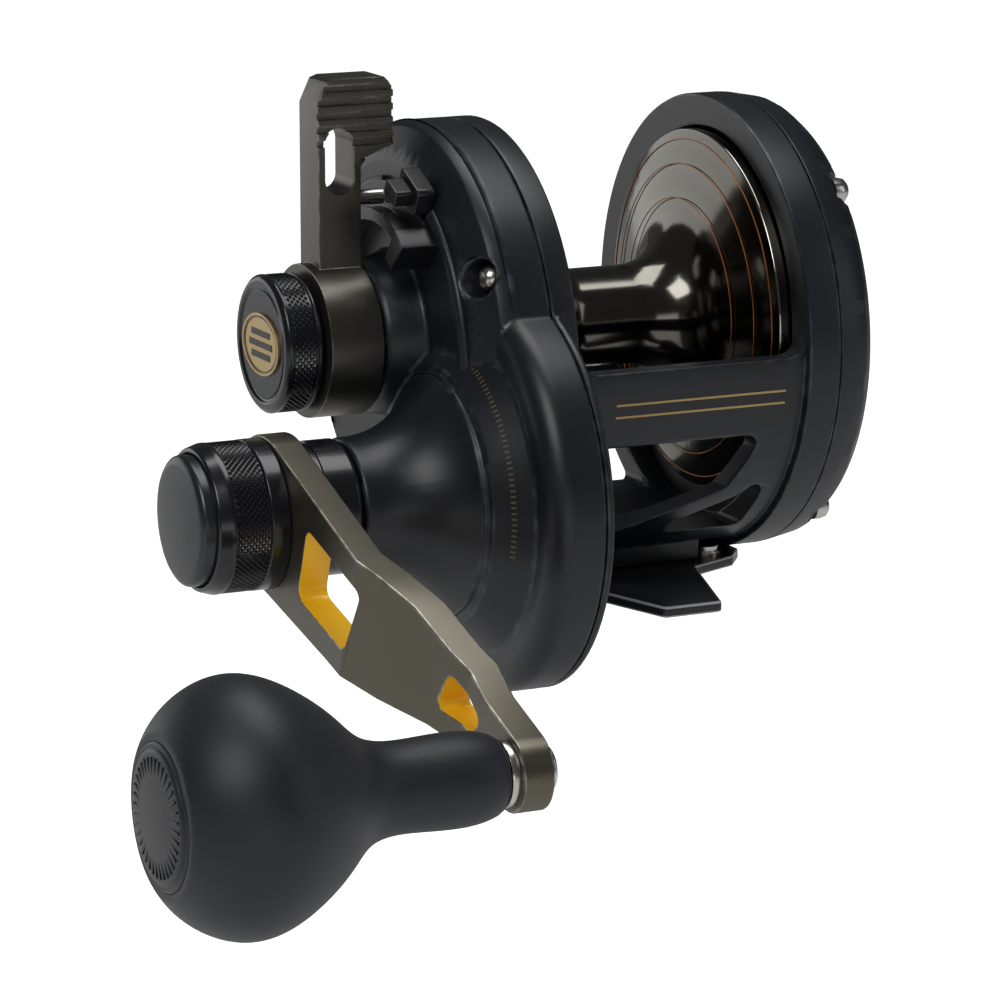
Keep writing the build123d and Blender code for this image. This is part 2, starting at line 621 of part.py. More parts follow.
# ---- pinion sleeve with the drag plate ----
PLATE_T = 1.6
DRAG_X = CUP_X - WASHER_T - DRAG_GAP
PINION_END_X = CAVITY_X - 0.8 - PINION_BEARING
with BuildPart() as drag_plate:
    revolve(tube(DRAG_X - PLATE_T, DRAG_X, CUP_R - 0.6, PINION_R), axis=SPOOL_AXIS)
    with BuildSketch(across(DRAG_X - PLATE_T, 0, SPOOL_Z)):
        with PolarLocations(12.5, 8):
            Circle(1.6)
    extrude(amount=PLATE_T, mode=Mode.SUBTRACT)
save(drag_plate.part, "drag_plate")

PINION_PHASE = DRIVE_ANGLE
HIGH_PHASE = DRIVE_ANGLE + 180 + 180 / HIGH_TEETH
LOW_PHASE = DRIVE_ANGLE + 180 + 180 / LOW_TEETH
with BuildPart() as pinion:
    revolve(tube(PINION_END_X, DRAG_X, PINION_R, SHAFT_R + 0.15), axis=SPOOL_AXIS)
    add(
        extrude(
            gear_outline(HIGH_X - GEAR_W, 0, SPOOL_Z, HIGH_PINION, PINION_PHASE),
            amount=GEAR_W + 0.1,
            mode=Mode.PRIVATE,
        )
    )
    add(
        extrude(
            gear_outline(LOW_X - GEAR_W, 0, SPOOL_Z, LOW_PINION, PINION_PHASE),
            amount=GEAR_W,
            mode=Mode.PRIVATE,
        )
    )
    revolve(tube(PINION_END_X - 1, DRAG_X + 1, SHAFT_R + 0.15, 0), axis=SPOOL_AXIS, mode=Mode.SUBTRACT)
    with BuildSketch(across(HIGH_X + 0.1, 0, SPOOL_Z)):
        Circle(8)
        Circle(PINION_R, mode=Mode.SUBTRACT)
    extrude(amount=LOW_X - GEAR_W - HIGH_X - 0.1, mode=Mode.SUBTRACT)
save(pinion.part, "pinion")

with BuildPart() as pinion_bearings:
    revolve(tube(PART_X + 0.1, WEB_X, BEARING_R, PINION_R + RUN), axis=SPOOL_AXIS)
    outer_x = CAVITY_X - 0.8
    revolve(tube(outer_x - PINION_BEARING, outer_x, BEARING_R, PINION_R + RUN), axis=SPOOL_AXIS)
save(pinion_bearings.part, "pinion_bearings")

# ---- sliding spool shaft ----
SHAFT_X0 = PRESET_FACE_X + 2.2
SHAFT_X1 = TAIL_FACE_X + 0.2
with BuildPart() as shaft:
    revolve(tube(SHAFT_X0, SHAFT_X1 - 1.2, SHAFT_R, 0), axis=SPOOL_AXIS)
    collar_x = POCKET_X1 - 1.2
    revolve(tube(POCKET_X0 + 0.2, POCKET_X0 + 1.2, SHAFT_R + 0.5, 0), axis=SPOOL_AXIS)
    revolve(tube(collar_x, POCKET_X1 - 0.1, SHAFT_R + 0.5, 0), axis=SPOOL_AXIS)
save(shaft.part, "spool_shaft")

# ---- big gears, ratchet and handle shaft ----
with BuildPart() as high_gear:
    add(
        extrude(
            gear_outline(HIGH_X - GEAR_W, DRIVE_Y, DRIVE_Z, HIGH_TEETH, HIGH_PHASE - 180),
            amount=GEAR_W,
            mode=Mode.PRIVATE,
        )
    )
    with BuildSketch(across(HIGH_X - GEAR_W, DRIVE_Y, DRIVE_Z)):
        Circle(DRIVE_R)
        with PolarLocations(14.5, 6):
            Circle(4.2)
    extrude(amount=GEAR_W, mode=Mode.SUBTRACT)
save(high_gear.part, "high_gear")

with BuildPart() as low_gear:
    add(
        extrude(
            gear_outline(LOW_X - GEAR_W, DRIVE_Y, DRIVE_Z, LOW_TEETH, LOW_PHASE - 180),
            amount=GEAR_W,
            mode=Mode.PRIVATE,
        )
    )
    with BuildSketch(across(LOW_X - GEAR_W, DRIVE_Y, DRIVE_Z)):
        Circle(DRIVE_R + RUN)
        with PolarLocations(12.0, 5):
            Circle(3.6)
    extrude(amount=GEAR_W, mode=Mode.SUBTRACT)
save(low_gear.part, "low_gear")

RATCHET_TEETH = 12
RATCHET_TIP = 8.6
RATCHET_X1 = CAVITY_X - 0.9
RATCHET_W = 2.0
with BuildPart() as ratchet:
    points = []
    for tooth in range(RATCHET_TEETH):
        a = math.radians(90 + 360 / RATCHET_TEETH * tooth)
        b = math.radians(90 + 360 / RATCHET_TEETH * (tooth + 0.94))
        points.append((RATCHET_TIP * math.cos(a), RATCHET_TIP * math.sin(a)))
        points.append(((RATCHET_TIP - 1.7) * math.cos(b), (RATCHET_TIP - 1.7) * math.sin(b)))
    with BuildSketch(across(RATCHET_X1 - RATCHET_W, DRIVE_Y, DRIVE_Z)):
        Polygon(*points, align=None)
        Circle(DRIVE_R, mode=Mode.SUBTRACT)
    extrude(amount=RATCHET_W)
save(ratchet.part, "ratchet")

DRIVE_END_X = ARM_FACE_X - 1.9
with BuildPart() as drive_shaft:
    revolve(tube(DRIVE_END_X, PART_X - 0.3, DRIVE_R, 0, DRIVE_Y, DRIVE_Z), axis=DRIVE_AXIS)
    revolve(tube(PART_X - 0.3, PART_X + 1.1, DRIVE_R - 0.5, 0, DRIVE_Y, DRIVE_Z), axis=DRIVE_AXIS)
    bore(tube(DRIVE_END_X, LOW_X - 1.0, ROD_R + RUN, 0, DRIVE_Y, DRIVE_Z), DRIVE_AXIS)
save(drive_shaft.part, "drive_shaft")

with BuildPart() as drive_bearing:
    race_x = BOSS_X + 1.3
    race = tube(race_x, race_x + DRIVE_BEARING, DRIVE_BEARING_R, DRIVE_R + RUN, DRIVE_Y, DRIVE_Z)
    revolve(race, axis=DRIVE_AXIS)
save(drive_bearing.part, "drive_bearing")

# anti-reverse pawl on its pin; at rest it is lifted clear of the ratchet
PAWL_Y, PAWL_Z = on_drive(11.4, 48.0)
with BuildPart() as pawl_pin:
    with BuildSketch(across(RATCHET_X, PAWL_Y, PAWL_Z)):
        Circle(0.8)
    extrude(amount=RATCHET_X1 + 0.4 - RATCHET_X)
save(pawl_pin.part, "pawl_pin")

PAWL_TIP = (DRIVE_Y + 1.2, DRIVE_Z + RATCHET_TIP + 0.7)
with BuildPart() as pawl:
    with BuildSketch(across(RATCHET_X1 - RATCHET_W, 0, 0)):
        Polygon(
            (PAWL_Y - 0.9, PAWL_Z - 1.2),
            (PAWL_Y + 1.0, PAWL_Z + 0.9),
            (PAWL_TIP[0] + 0.4, PAWL_TIP[1] + 1.4),
            (PAWL_TIP[0] - 0.6, PAWL_TIP[1] + 0.1),
            (PAWL_TIP[0] + 1.0, PAWL_TIP[1] - 0.2),
            align=None,
        )
        with Locations((PAWL_Y, PAWL_Z)):
            Circle(1.7)
            Circle(0.8 + RUN, mode=Mode.SUBTRACT)
    extrude(amount=RATCHET_W)
save(pawl.part, "pawl")

# ---- handle: sleeve, arm, collar, selector rod and button ----
with BuildPart() as sleeve:
    spacer = [
        (SLEEVE_X, DRIVE_R),
        (SLEEVE_X, BOSS_R - 0.5),
        (SLEEVE_X - 0.5, BOSS_R),
        (ARM_X, BOSS_R),
        (ARM_X, DRIVE_R),
    ]
    revolve(section(spacer, DRIVE_Y, DRIVE_Z), axis=DRIVE_AXIS)
save(sleeve.part, "handle_sleeve")

with BuildPart() as arm:
    side_plane = Plane(
        origin=(0, DRIVE_Y, DRIVE_Z),
        x_dir=(0, ARM_Y, ARM_Z),
        z_dir=(0, ARM_Z, -ARM_Y),
    )
    with BuildSketch(side_plane):
        with BuildLine():
            FilletPolyline(
                (-ARM_HUB_R - 4, ARM_FACE_X),
                (BEND_START, ARM_FACE_X),
                (BEND_END, ARM_FACE_X + ARM_SET),
                (ARM_LENGTH + 12, ARM_FACE_X + ARM_SET),
                (ARM_LENGTH + 12, ARM_X + ARM_SET),
                (BEND_END - 1.0, ARM_X + ARM_SET),
                (BEND_START - 1.0, ARM_X),
                (-ARM_HUB_R - 4, ARM_X),
                radius=1.5,
                close=True,
            )
        make_face()
    extrude(amount=20, both=True)
    with BuildSketch(Plane(origin=(-90, DRIVE_Y, DRIVE_Z), x_dir=(0, ARM_Y, ARM_Z), z_dir=(1, 0, 0))):
        Circle(ARM_HUB_R)
        with Locations((ARM_LENGTH, 0)):
            Circle(ARM_END_R)
        Polygon(
            (1.6, ARM_HUB_R - 0.15),
            (BEND_START - 5.0, 7.9),
            (BEND_START + 7.0, 6.9),
            (BEND_END - 6.0, 5.4),
            (BEND_END + 4.0, 4.9),
            (ARM_LENGTH, ARM_END_R),
            (ARM_LENGTH, -ARM_END_R),
            (BEND_END + 5.0, -ARM_END_R),
            (BEND_END - 4.0, -7.2),
            (BEND_END - 11.0, -9.8),
            (BEND_START + 4.0, -10.5),
            (0.4, -ARM_HUB_R + 0.05),
            align=None,
        )
        Circle(DRIVE_R, mode=Mode.SUBTRACT)
        with Locations((ARM_LENGTH, 0)):
            Circle(BOLT_R, mode=Mode.SUBTRACT)
        with BuildLine():
            FilletPolyline(
                (ARM_HUB_R + 3.4, 4.7),
                (BEND_START, 3.4),
                (BEND_START + 1.6, -6.6),
                (ARM_HUB_R + 3.4, -5.8),
                radius=1.5,
                close=True,
            )
        make_face(mode=Mode.SUBTRACT)
        with BuildLine():
            FilletPolyline(
                (BEND_END - 4.8, 1.8),
                (BEND_END + 2.4, 1.4),
                (BEND_END + 5.0, -1.6),
                (BEND_END - 3.4, -4.0),
                radius=1.1,
                close=True,
            )
        make_face(mode=Mode.SUBTRACT)
    extrude(amount=60, mode=Mode.INTERSECT)
save(arm.part, "handle_arm")

POCKET_FLOOR_X = ARM_FACE_X - 1.9
with BuildPart() as handle_collar:
    turned = [
        (ARM_FACE_X, DRIVE_R),
        (ARM_FACE_X, COLLAR_R),
        (COLLAR_X + 2.2, COLLAR_R),
        (COLLAR_X + 0.3, BUTTON_HOLE_R + 0.7),
        (COLLAR_X, BUTTON_HOLE_R + 0.4),
        (COLLAR_X, BUTTON_HOLE_R),
        (POCKET_FLOOR_X, BUTTON_HOLE_R),
        (POCKET_FLOOR_X, DRIVE_R),
    ]
    revolve(section(turned, DRIVE_Y, DRIVE_Z), axis=DRIVE_AXIS)
save(handle_collar.part, "handle_collar")

SKIRT_X = POCKET_FLOOR_X - SHIFT_STROKE - 0.4
with BuildPart() as shift_button:
    dome = [
        (SKIRT_X, 0),
        (SKIRT_X, BUTTON_R),
        (COLLAR_X - 1.3, BUTTON_R),
        (COLLAR_X - 1.7, BUTTON_R - 0.5),
        (COLLAR_X - 2.2, BUTTON_R - 3.4),
        (COLLAR_X - 2.4, 0),
    ]
    revolve(section(dome, DRIVE_Y, DRIVE_Z), axis=DRIVE_AXIS)
    bore(tube(SKIRT_X, SKIRT_X - 2.6, BUTTON_R - 2.2, ROD_R, DRIVE_Y, DRIVE_Z), DRIVE_AXIS)
save(shift_button.part, "shift_button")

with BuildPart() as shift_rod:
    revolve(tube(SKIRT_X, LOW_X - 1.2 - SHIFT_STROKE, ROD_R, 0, DRIVE_Y, DRIVE_Z), axis=DRIVE_AXIS)
save(shift_rod.part, "shift_rod")

shift_spring = spring(SKIRT_X - 2.6, POCKET_FLOOR_X, 5.2, 0.35, 5, DRIVE_Y, DRIVE_Z)
save(shift_spring, "shift_spring")

# ---- knob ----
ARM_IN_X = ARM_X + ARM_SET
ARM_OUT_X = ARM_FACE_X + ARM_SET
BOLT_HEAD = 1.5
BOLT_HEAD_R = 3.2
WASHER_W = 1.2
WASHER_R = 4.4
STEM_X = ARM_OUT_X - WASHER_W - GAP
GRIP_END_X = STEM_X - GRIP_LENGTH
BALL_X = GRIP_END_X + 10.3
with BuildPart() as knob_bolt:
    revolve(tube(ARM_IN_X, ARM_IN_X + BOLT_HEAD, BOLT_HEAD_R, 0, KNOB_Y, KNOB_Z), axis=KNOB_AXIS)
    chamfer(knob_bolt.edges().sort_by(Axis.X)[-1], 0.4)
    revolve(tube(GRIP_END_X + 8.0, ARM_IN_X, BOLT_R, 0, KNOB_Y, KNOB_Z), axis=KNOB_AXIS)
save(knob_bolt.part, "knob_bolt")

with BuildPart() as knob_washer:
    revolve(tube(ARM_OUT_X - WASHER_W, ARM_OUT_X, WASHER_R, BOLT_R, KNOB_Y, KNOB_Z), axis=KNOB_AXIS)
save(knob_washer.part, "knob_washer")

BUSH_R = BOLT_R + 1.2
BUSH = 4.0
with BuildPart() as grip:
    with BuildSketch(Plane(origin=(0, KNOB_Y, KNOB_Z), x_dir=(1, 0, 0), z_dir=(0, -1, 0))):
        with BuildLine():
            Line((STEM_X, 0), (STEM_X, STEM_R))
            Line((STEM_X, STEM_R), (STEM_X - 1.0, STEM_R + 0.6))
            Spline(
                (STEM_X - 1.0, STEM_R + 0.6),
                (STEM_X - 11.0, STEM_R + 1.3),
                (BALL_X + 16.2, STEM_R + 2.3),
                (BALL_X + 12.6, STEM_R + 5.4),
                (BALL_X + 8.0, BALL_R - 2.9),
                (BALL_X, BALL_R),
                (BALL_X - 7.2, BALL_R - 2.7),
                (GRIP_END_X, MEDAL_R),
            )
            Line((GRIP_END_X, MEDAL_R), (GRIP_END_X, 0))
            Line((GRIP_END_X, 0), (STEM_X, 0))
        make_face()
    revolve(axis=KNOB_AXIS)
    bore(tube(STEM_X, GRIP_END_X + 7.0, BOLT_R + 0.6, 0, KNOB_Y, KNOB_Z), KNOB_AXIS)
    bore(tube(STEM_X, STEM_X - BUSH, BUSH_R, 0, KNOB_Y, KNOB_Z), KNOB_AXIS)
    bore(tube(GRIP_END_X + 7.0, GRIP_END_X + 12.0, BUSH_R, 0, KNOB_Y, KNOB_Z), KNOB_AXIS)
    bore(tube(GRIP_END_X, GRIP_END_X + 1.0, MEDAL_R - 0.8, 0, KNOB_Y, KNOB_Z), KNOB_AXIS)
save(grip.part, "grip")

with BuildPart() as grip_bushes:
    revolve(tube(STEM_X, STEM_X - BUSH, BUSH_R, BOLT_R + RUN, KNOB_Y, KNOB_Z), axis=KNOB_AXIS)
    revolve(tube(GRIP_END_X + 8.0, GRIP_END_X + 12.0, BUSH_R, BOLT_R + RUN, KNOB_Y, KNOB_Z), axis=KNOB_AXIS)
save(grip_bushes.part, "grip_bushes")

with BuildPart() as grip_medallion:
    medal = [
        (GRIP_END_X + 1.0, 0),
        (GRIP_END_X + 1.0, MEDAL_R - 0.8),
        (GRIP_END_X, MEDAL_R - 0.8),
        (GRIP_END_X - 0.7, MEDAL_R - 3.4),
        (GRIP_END_X - 1.0, 0),
    ]
    revolve(section(medal, KNOB_Y, KNOB_Z), axis=KNOB_AXIS)
save(grip_medallion.part, "grip_medallion")

# ---- lever drag ----
LEVER_OUT_X = LEVER_X - LEVER_HUB
CAM_R = 7.6
CAM_T = 2.6
DRAG_SPRING_R = 5.6
SPRING_DEPTH = 3.2
ARM_LINE_X = LEVER_OUT_X + LEVER_SET
NARROW_Z = SPOOL_Z + TRACK_R + 5.8
with BuildPart() as lever:
    with BuildSketch(Plane(origin=(0, LEVER_T / 2 - 3.0, 0), x_dir=(1, 0, 0), z_dir=(0, -1, 0))):
        Polygon(
            (ARM_LINE_X, SPOOL_Z),
            (ARM_LINE_X, SPOOL_Z + LEVER_TIP - 3.6),
            (ARM_LINE_X + 1.5, SPOOL_Z + LEVER_TIP - 0.4),
            (ARM_LINE_X + 2.6, SPOOL_Z + LEVER_TIP),
            (PADDLE_X - 1.4, SPOOL_Z + LEVER_TIP),
            (PADDLE_X, SPOOL_Z + LEVER_TIP - 1.4),
            (PADDLE_X, SPOOL_Z + LEVER_TIP - 9.6),
            (PADDLE_X - 1.6, NARROW_Z + 1.4),
            (LEVER_X, NARROW_Z),
            (LEVER_X, SPOOL_Z),
            align=None,
        )
    extrude(amount=LEVER_T / 2, both=True)
    revolve(tube(LEVER_OUT_X, LEVER_X, LEVER_HUB_R, 0), axis=SPOOL_AXIS)
    # oval window through the arm and thumb grooves across the paddle's front
    with BuildSketch(Plane(origin=(0, -20, 0), x_dir=(1, 0, 0), z_dir=(0, -1, 0))):
        with Locations((ARM_LINE_X + 3.2, SPOOL_Z + LEVER_TIP - 11.6)):
            SlotOverall(8.4, 3.6, rotation=90)
    extrude(amount=-40, mode=Mode.SUBTRACT)
    with BuildSketch(Plane(origin=(LEVER_OUT_X, 0, 0), x_dir=(0, 1, 0), z_dir=(1, 0, 0))):
        with Locations((-3.0, SPOOL_Z + LEVER_TIP - 5.2)):
            with GridLocations(0, 1.9, 1, 5):
                Rectangle(1.1, 0.9)
    extrude(amount=PADDLE_X - LEVER_OUT_X, mode=Mode.SUBTRACT)
    bore(tube(LEVER_OUT_X, LEVER_X, SHAFT_R + GAP, 0), SPOOL_AXIS)
    # pockets for the cam ring, facing the gearcase, and for the drag springs, facing the knob
    bore(tube(LEVER_X - CAM_T, LEVER_X, CAM_R, 0), SPOOL_AXIS)
    bore(tube(LEVER_OUT_X, LEVER_OUT_X + SPRING_DEPTH, DRAG_SPRING_R + GAP, 0), SPOOL_AXIS)
save(lever.part, "drag_lever")

with BuildPart() as lever_pin:
    with BuildSketch(across(LEVER_X, 0.4, SPOOL_Z + TRACK_R)):
        Circle(PIN_R)
    extrude(amount=FACE_X - 1.6 - LEVER_X)
save(lever_pin.part, "lever_pin")

# quadrant: a curved channel that the lever pin runs in, closed by a block at each end
FREE_SWING = 60.0
FULL_SWING = 30.0
BLOCK_X = LEVER_X + 0.4


def arc_band(x, r_in, r_out, start, end):
    """Part of a ring about the spool axis, on a plane square to X."""
    middle = math.radians((start + end) / 2)
    reach = 3 * r_out
    with BuildSketch(across(x, 0, SPOOL_Z)) as band:
        Circle(r_out)
        Circle(r_in, mode=Mode.SUBTRACT)
        Polygon(
            (0, 0),
            (reach * math.cos(math.radians(start)), reach * math.sin(math.radians(start))),
            (reach * math.cos(middle), reach * math.sin(middle)),
            (reach * math.cos(math.radians(end)), reach * math.sin(math.radians(end))),
            mode=Mode.INTERSECT,
            align=None,
        )
    return band.sketch


FRONT_END = 90 + FULL_SWING + 8.0
FRONT_LIMIT = FRONT_END + 9
REAR_END = 90 - FREE_SWING - 8.0
REAR_LIMIT = REAR_END - 6
TRACK_IN = TRACK_R - 3.4
TRACK_OUT = TRACK_R + 2.2
BANDS = [
    (TRACK_OUT, REAR_LIMIT, FRONT_LIMIT, 1.2),
    (TRACK_R - 1.6, REAR_LIMIT, FRONT_LIMIT, 3.4),
    (TRACK_OUT, FRONT_END, FRONT_LIMIT, FACE_X - BLOCK_X),
    (TRACK_OUT, REAR_LIMIT, REAR_END, 4.2),
]
with BuildPart() as quadrant:
    for r_out, start, end, height in BANDS:
        add(extrude(arc_band(FACE_X, TRACK_IN, r_out, start, end), amount=-height, mode=Mode.PRIVATE))
save(quadrant.part, "lever_quadrant")

# sprung stop button that guards the strike position
STRIKE_Y, STRIKE_Z = on_spool(TRACK_R + 4.6, 116.0)
with BuildPart() as strike_housing:
    with BuildSketch(across(FACE_X, STRIKE_Y, STRIKE_Z)):
        with Locations(Location((0, 0), 26.0)):
            RectangleRounded(6.6, 4.2, 0.8)
            RectangleRounded(4.0 + 2 * RUN, 2.4 + 2 * RUN, 0.5, mode=Mode.SUBTRACT)
    extrude(amount=-2.6)
save(strike_housing.part, "strike_housing")

with BuildPart() as strike_button:
    with BuildSketch(across(FACE_X - 1.3, STRIKE_Y, STRIKE_Z)):
        with Locations(Location((0, 0), 26.0)):
            RectangleRounded(4.0, 2.4, 0.5)
    extrude(amount=BLOCK_X + 0.6 - FACE_X + 1.3)
save(strike_button.part, "strike_button")

# ---- preset knob and its badge ----
with BuildPart() as preset_knob:
    knob = [
        (PRESET_X, SHAFT_R + RUN),
        (PRESET_X, PRESET_R - 0.5),
        (PRESET_X - 0.5, PRESET_R),
        (PRESET_FACE_X + 0.7, PRESET_R),
        (PRESET_FACE_X, PRESET_R - 0.6),
        (PRESET_FACE_X, PRESET_R - 1.6),
        (PRESET_FACE_X + 0.3, PRESET_R - 1.8),
        (PRESET_FACE_X + 0.3, 0),
        (SHAFT_X0 - 0.8, 0),
        (SHAFT_X0 - 0.8, SHAFT_R + RUN),
    ]
    revolve(section(knob), axis=SPOOL_AXIS)
save(preset_knob.part, "preset_knob")

with BuildPart() as preset_badge:
    with BuildSketch(across(PRESET_FACE_X + 0.3, 0, SPOOL_Z)):
        Ellipse(6.6, 4.4)
    extrude(amount=-0.5)
save(preset_badge.part, "preset_badge")

# ---- cam ring, drag springs and return spring round the spool shaft ----
with BuildPart() as lever_cam:
    revolve(tube(LEVER_X - CAM_T, LEVER_X, CAM_R, SHAFT_R + GAP), axis=SPOOL_AXIS)
    with BuildSketch(across(LEVER_X, 0, SPOOL_Z)):
        with PolarLocations(5.2, 3, start_angle=90):
            Rectangle(1.8, 3.4)
    extrude(amount=-0.8, mode=Mode.SUBTRACT)
save(lever_cam.part, "lever_cam")

with BuildPart() as drag_springs:
    for layer in range(3):
        x0 = LEVER_OUT_X + 0.4 + 0.6 * layer
        cone = [
            (x0, SHAFT_R + RUN),
            (x0 + 0.5, DRAG_SPRING_R),
            (x0 + 0.9, DRAG_SPRING_R),
            (x0 + 0.4, SHAFT_R + RUN),
        ]
        revolve(section(cone), axis=SPOOL_AXIS)
save(drag_springs.part, "drag_springs")

return_spring = spring(NECK_X + 1.4, PINION_END_X - 1.0, SHAFT_R + 0.55, 0.25, 6, 0, SPOOL_Z)
save(return_spring, "return_spring")
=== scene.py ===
import logging
import math
from dataclasses import dataclass, field
from enum import Enum
from typing import Any

import bmesh
import bpy
from mathutils import Matrix, Vector


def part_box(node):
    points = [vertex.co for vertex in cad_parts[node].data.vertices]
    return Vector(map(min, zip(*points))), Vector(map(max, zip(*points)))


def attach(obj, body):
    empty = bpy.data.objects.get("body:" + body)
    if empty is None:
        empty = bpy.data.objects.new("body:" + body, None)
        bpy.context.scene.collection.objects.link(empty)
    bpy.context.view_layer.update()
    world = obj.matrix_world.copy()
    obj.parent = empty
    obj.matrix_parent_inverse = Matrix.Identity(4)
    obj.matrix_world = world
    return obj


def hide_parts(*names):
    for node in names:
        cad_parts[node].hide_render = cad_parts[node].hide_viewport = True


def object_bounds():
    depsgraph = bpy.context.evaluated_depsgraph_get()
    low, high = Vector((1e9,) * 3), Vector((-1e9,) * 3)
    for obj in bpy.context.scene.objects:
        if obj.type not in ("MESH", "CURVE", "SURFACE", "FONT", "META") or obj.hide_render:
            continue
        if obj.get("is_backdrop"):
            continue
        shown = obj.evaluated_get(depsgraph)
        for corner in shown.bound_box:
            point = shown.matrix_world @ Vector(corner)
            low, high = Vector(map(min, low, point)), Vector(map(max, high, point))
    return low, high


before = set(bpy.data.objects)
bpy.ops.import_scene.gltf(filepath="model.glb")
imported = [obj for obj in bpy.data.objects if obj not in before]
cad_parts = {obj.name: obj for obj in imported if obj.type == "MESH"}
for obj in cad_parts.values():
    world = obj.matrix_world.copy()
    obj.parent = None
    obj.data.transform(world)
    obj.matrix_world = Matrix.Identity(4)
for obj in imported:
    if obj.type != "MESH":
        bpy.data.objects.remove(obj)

log = logging.getLogger("reel")

MM = 0.001
WELD = 0.000002
FLAT_ANGLE = math.radians(0.35)
SHARP_ANGLE = math.radians(38.0)
SCREW_HEAD = (1.9, 2.3, 1.0, 1.0)
SCREW_SEAT = 1.5

Colour = tuple[float, float, float]
Place = tuple[float, float]
Profile = list[tuple[float, float, float]]

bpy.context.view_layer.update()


# ---------------------------------------------------------------- finishes


class Surface(Enum):
    """What the fine relief of a finish follows."""

    GRAIN = "grain"
    TURNED = "turned"
    BRUSHED = "brushed"
    WEAVE = "weave"


class Turning(Enum):
    """The axis, square to the side plates, that a piece was turned about."""

    SPOOL = "spool"
    DRIVE = "handle_sleeve"
    KNOB = "knob_washer"
    PLATE = "tail_plate"

    def place(self) -> Place:
        """Axis position as (y, z) in metres, read from the CAD node that it is named for."""
        low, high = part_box(self.value)
        return ((low.y + high.y) / 2, (low.z + high.z) / 2)


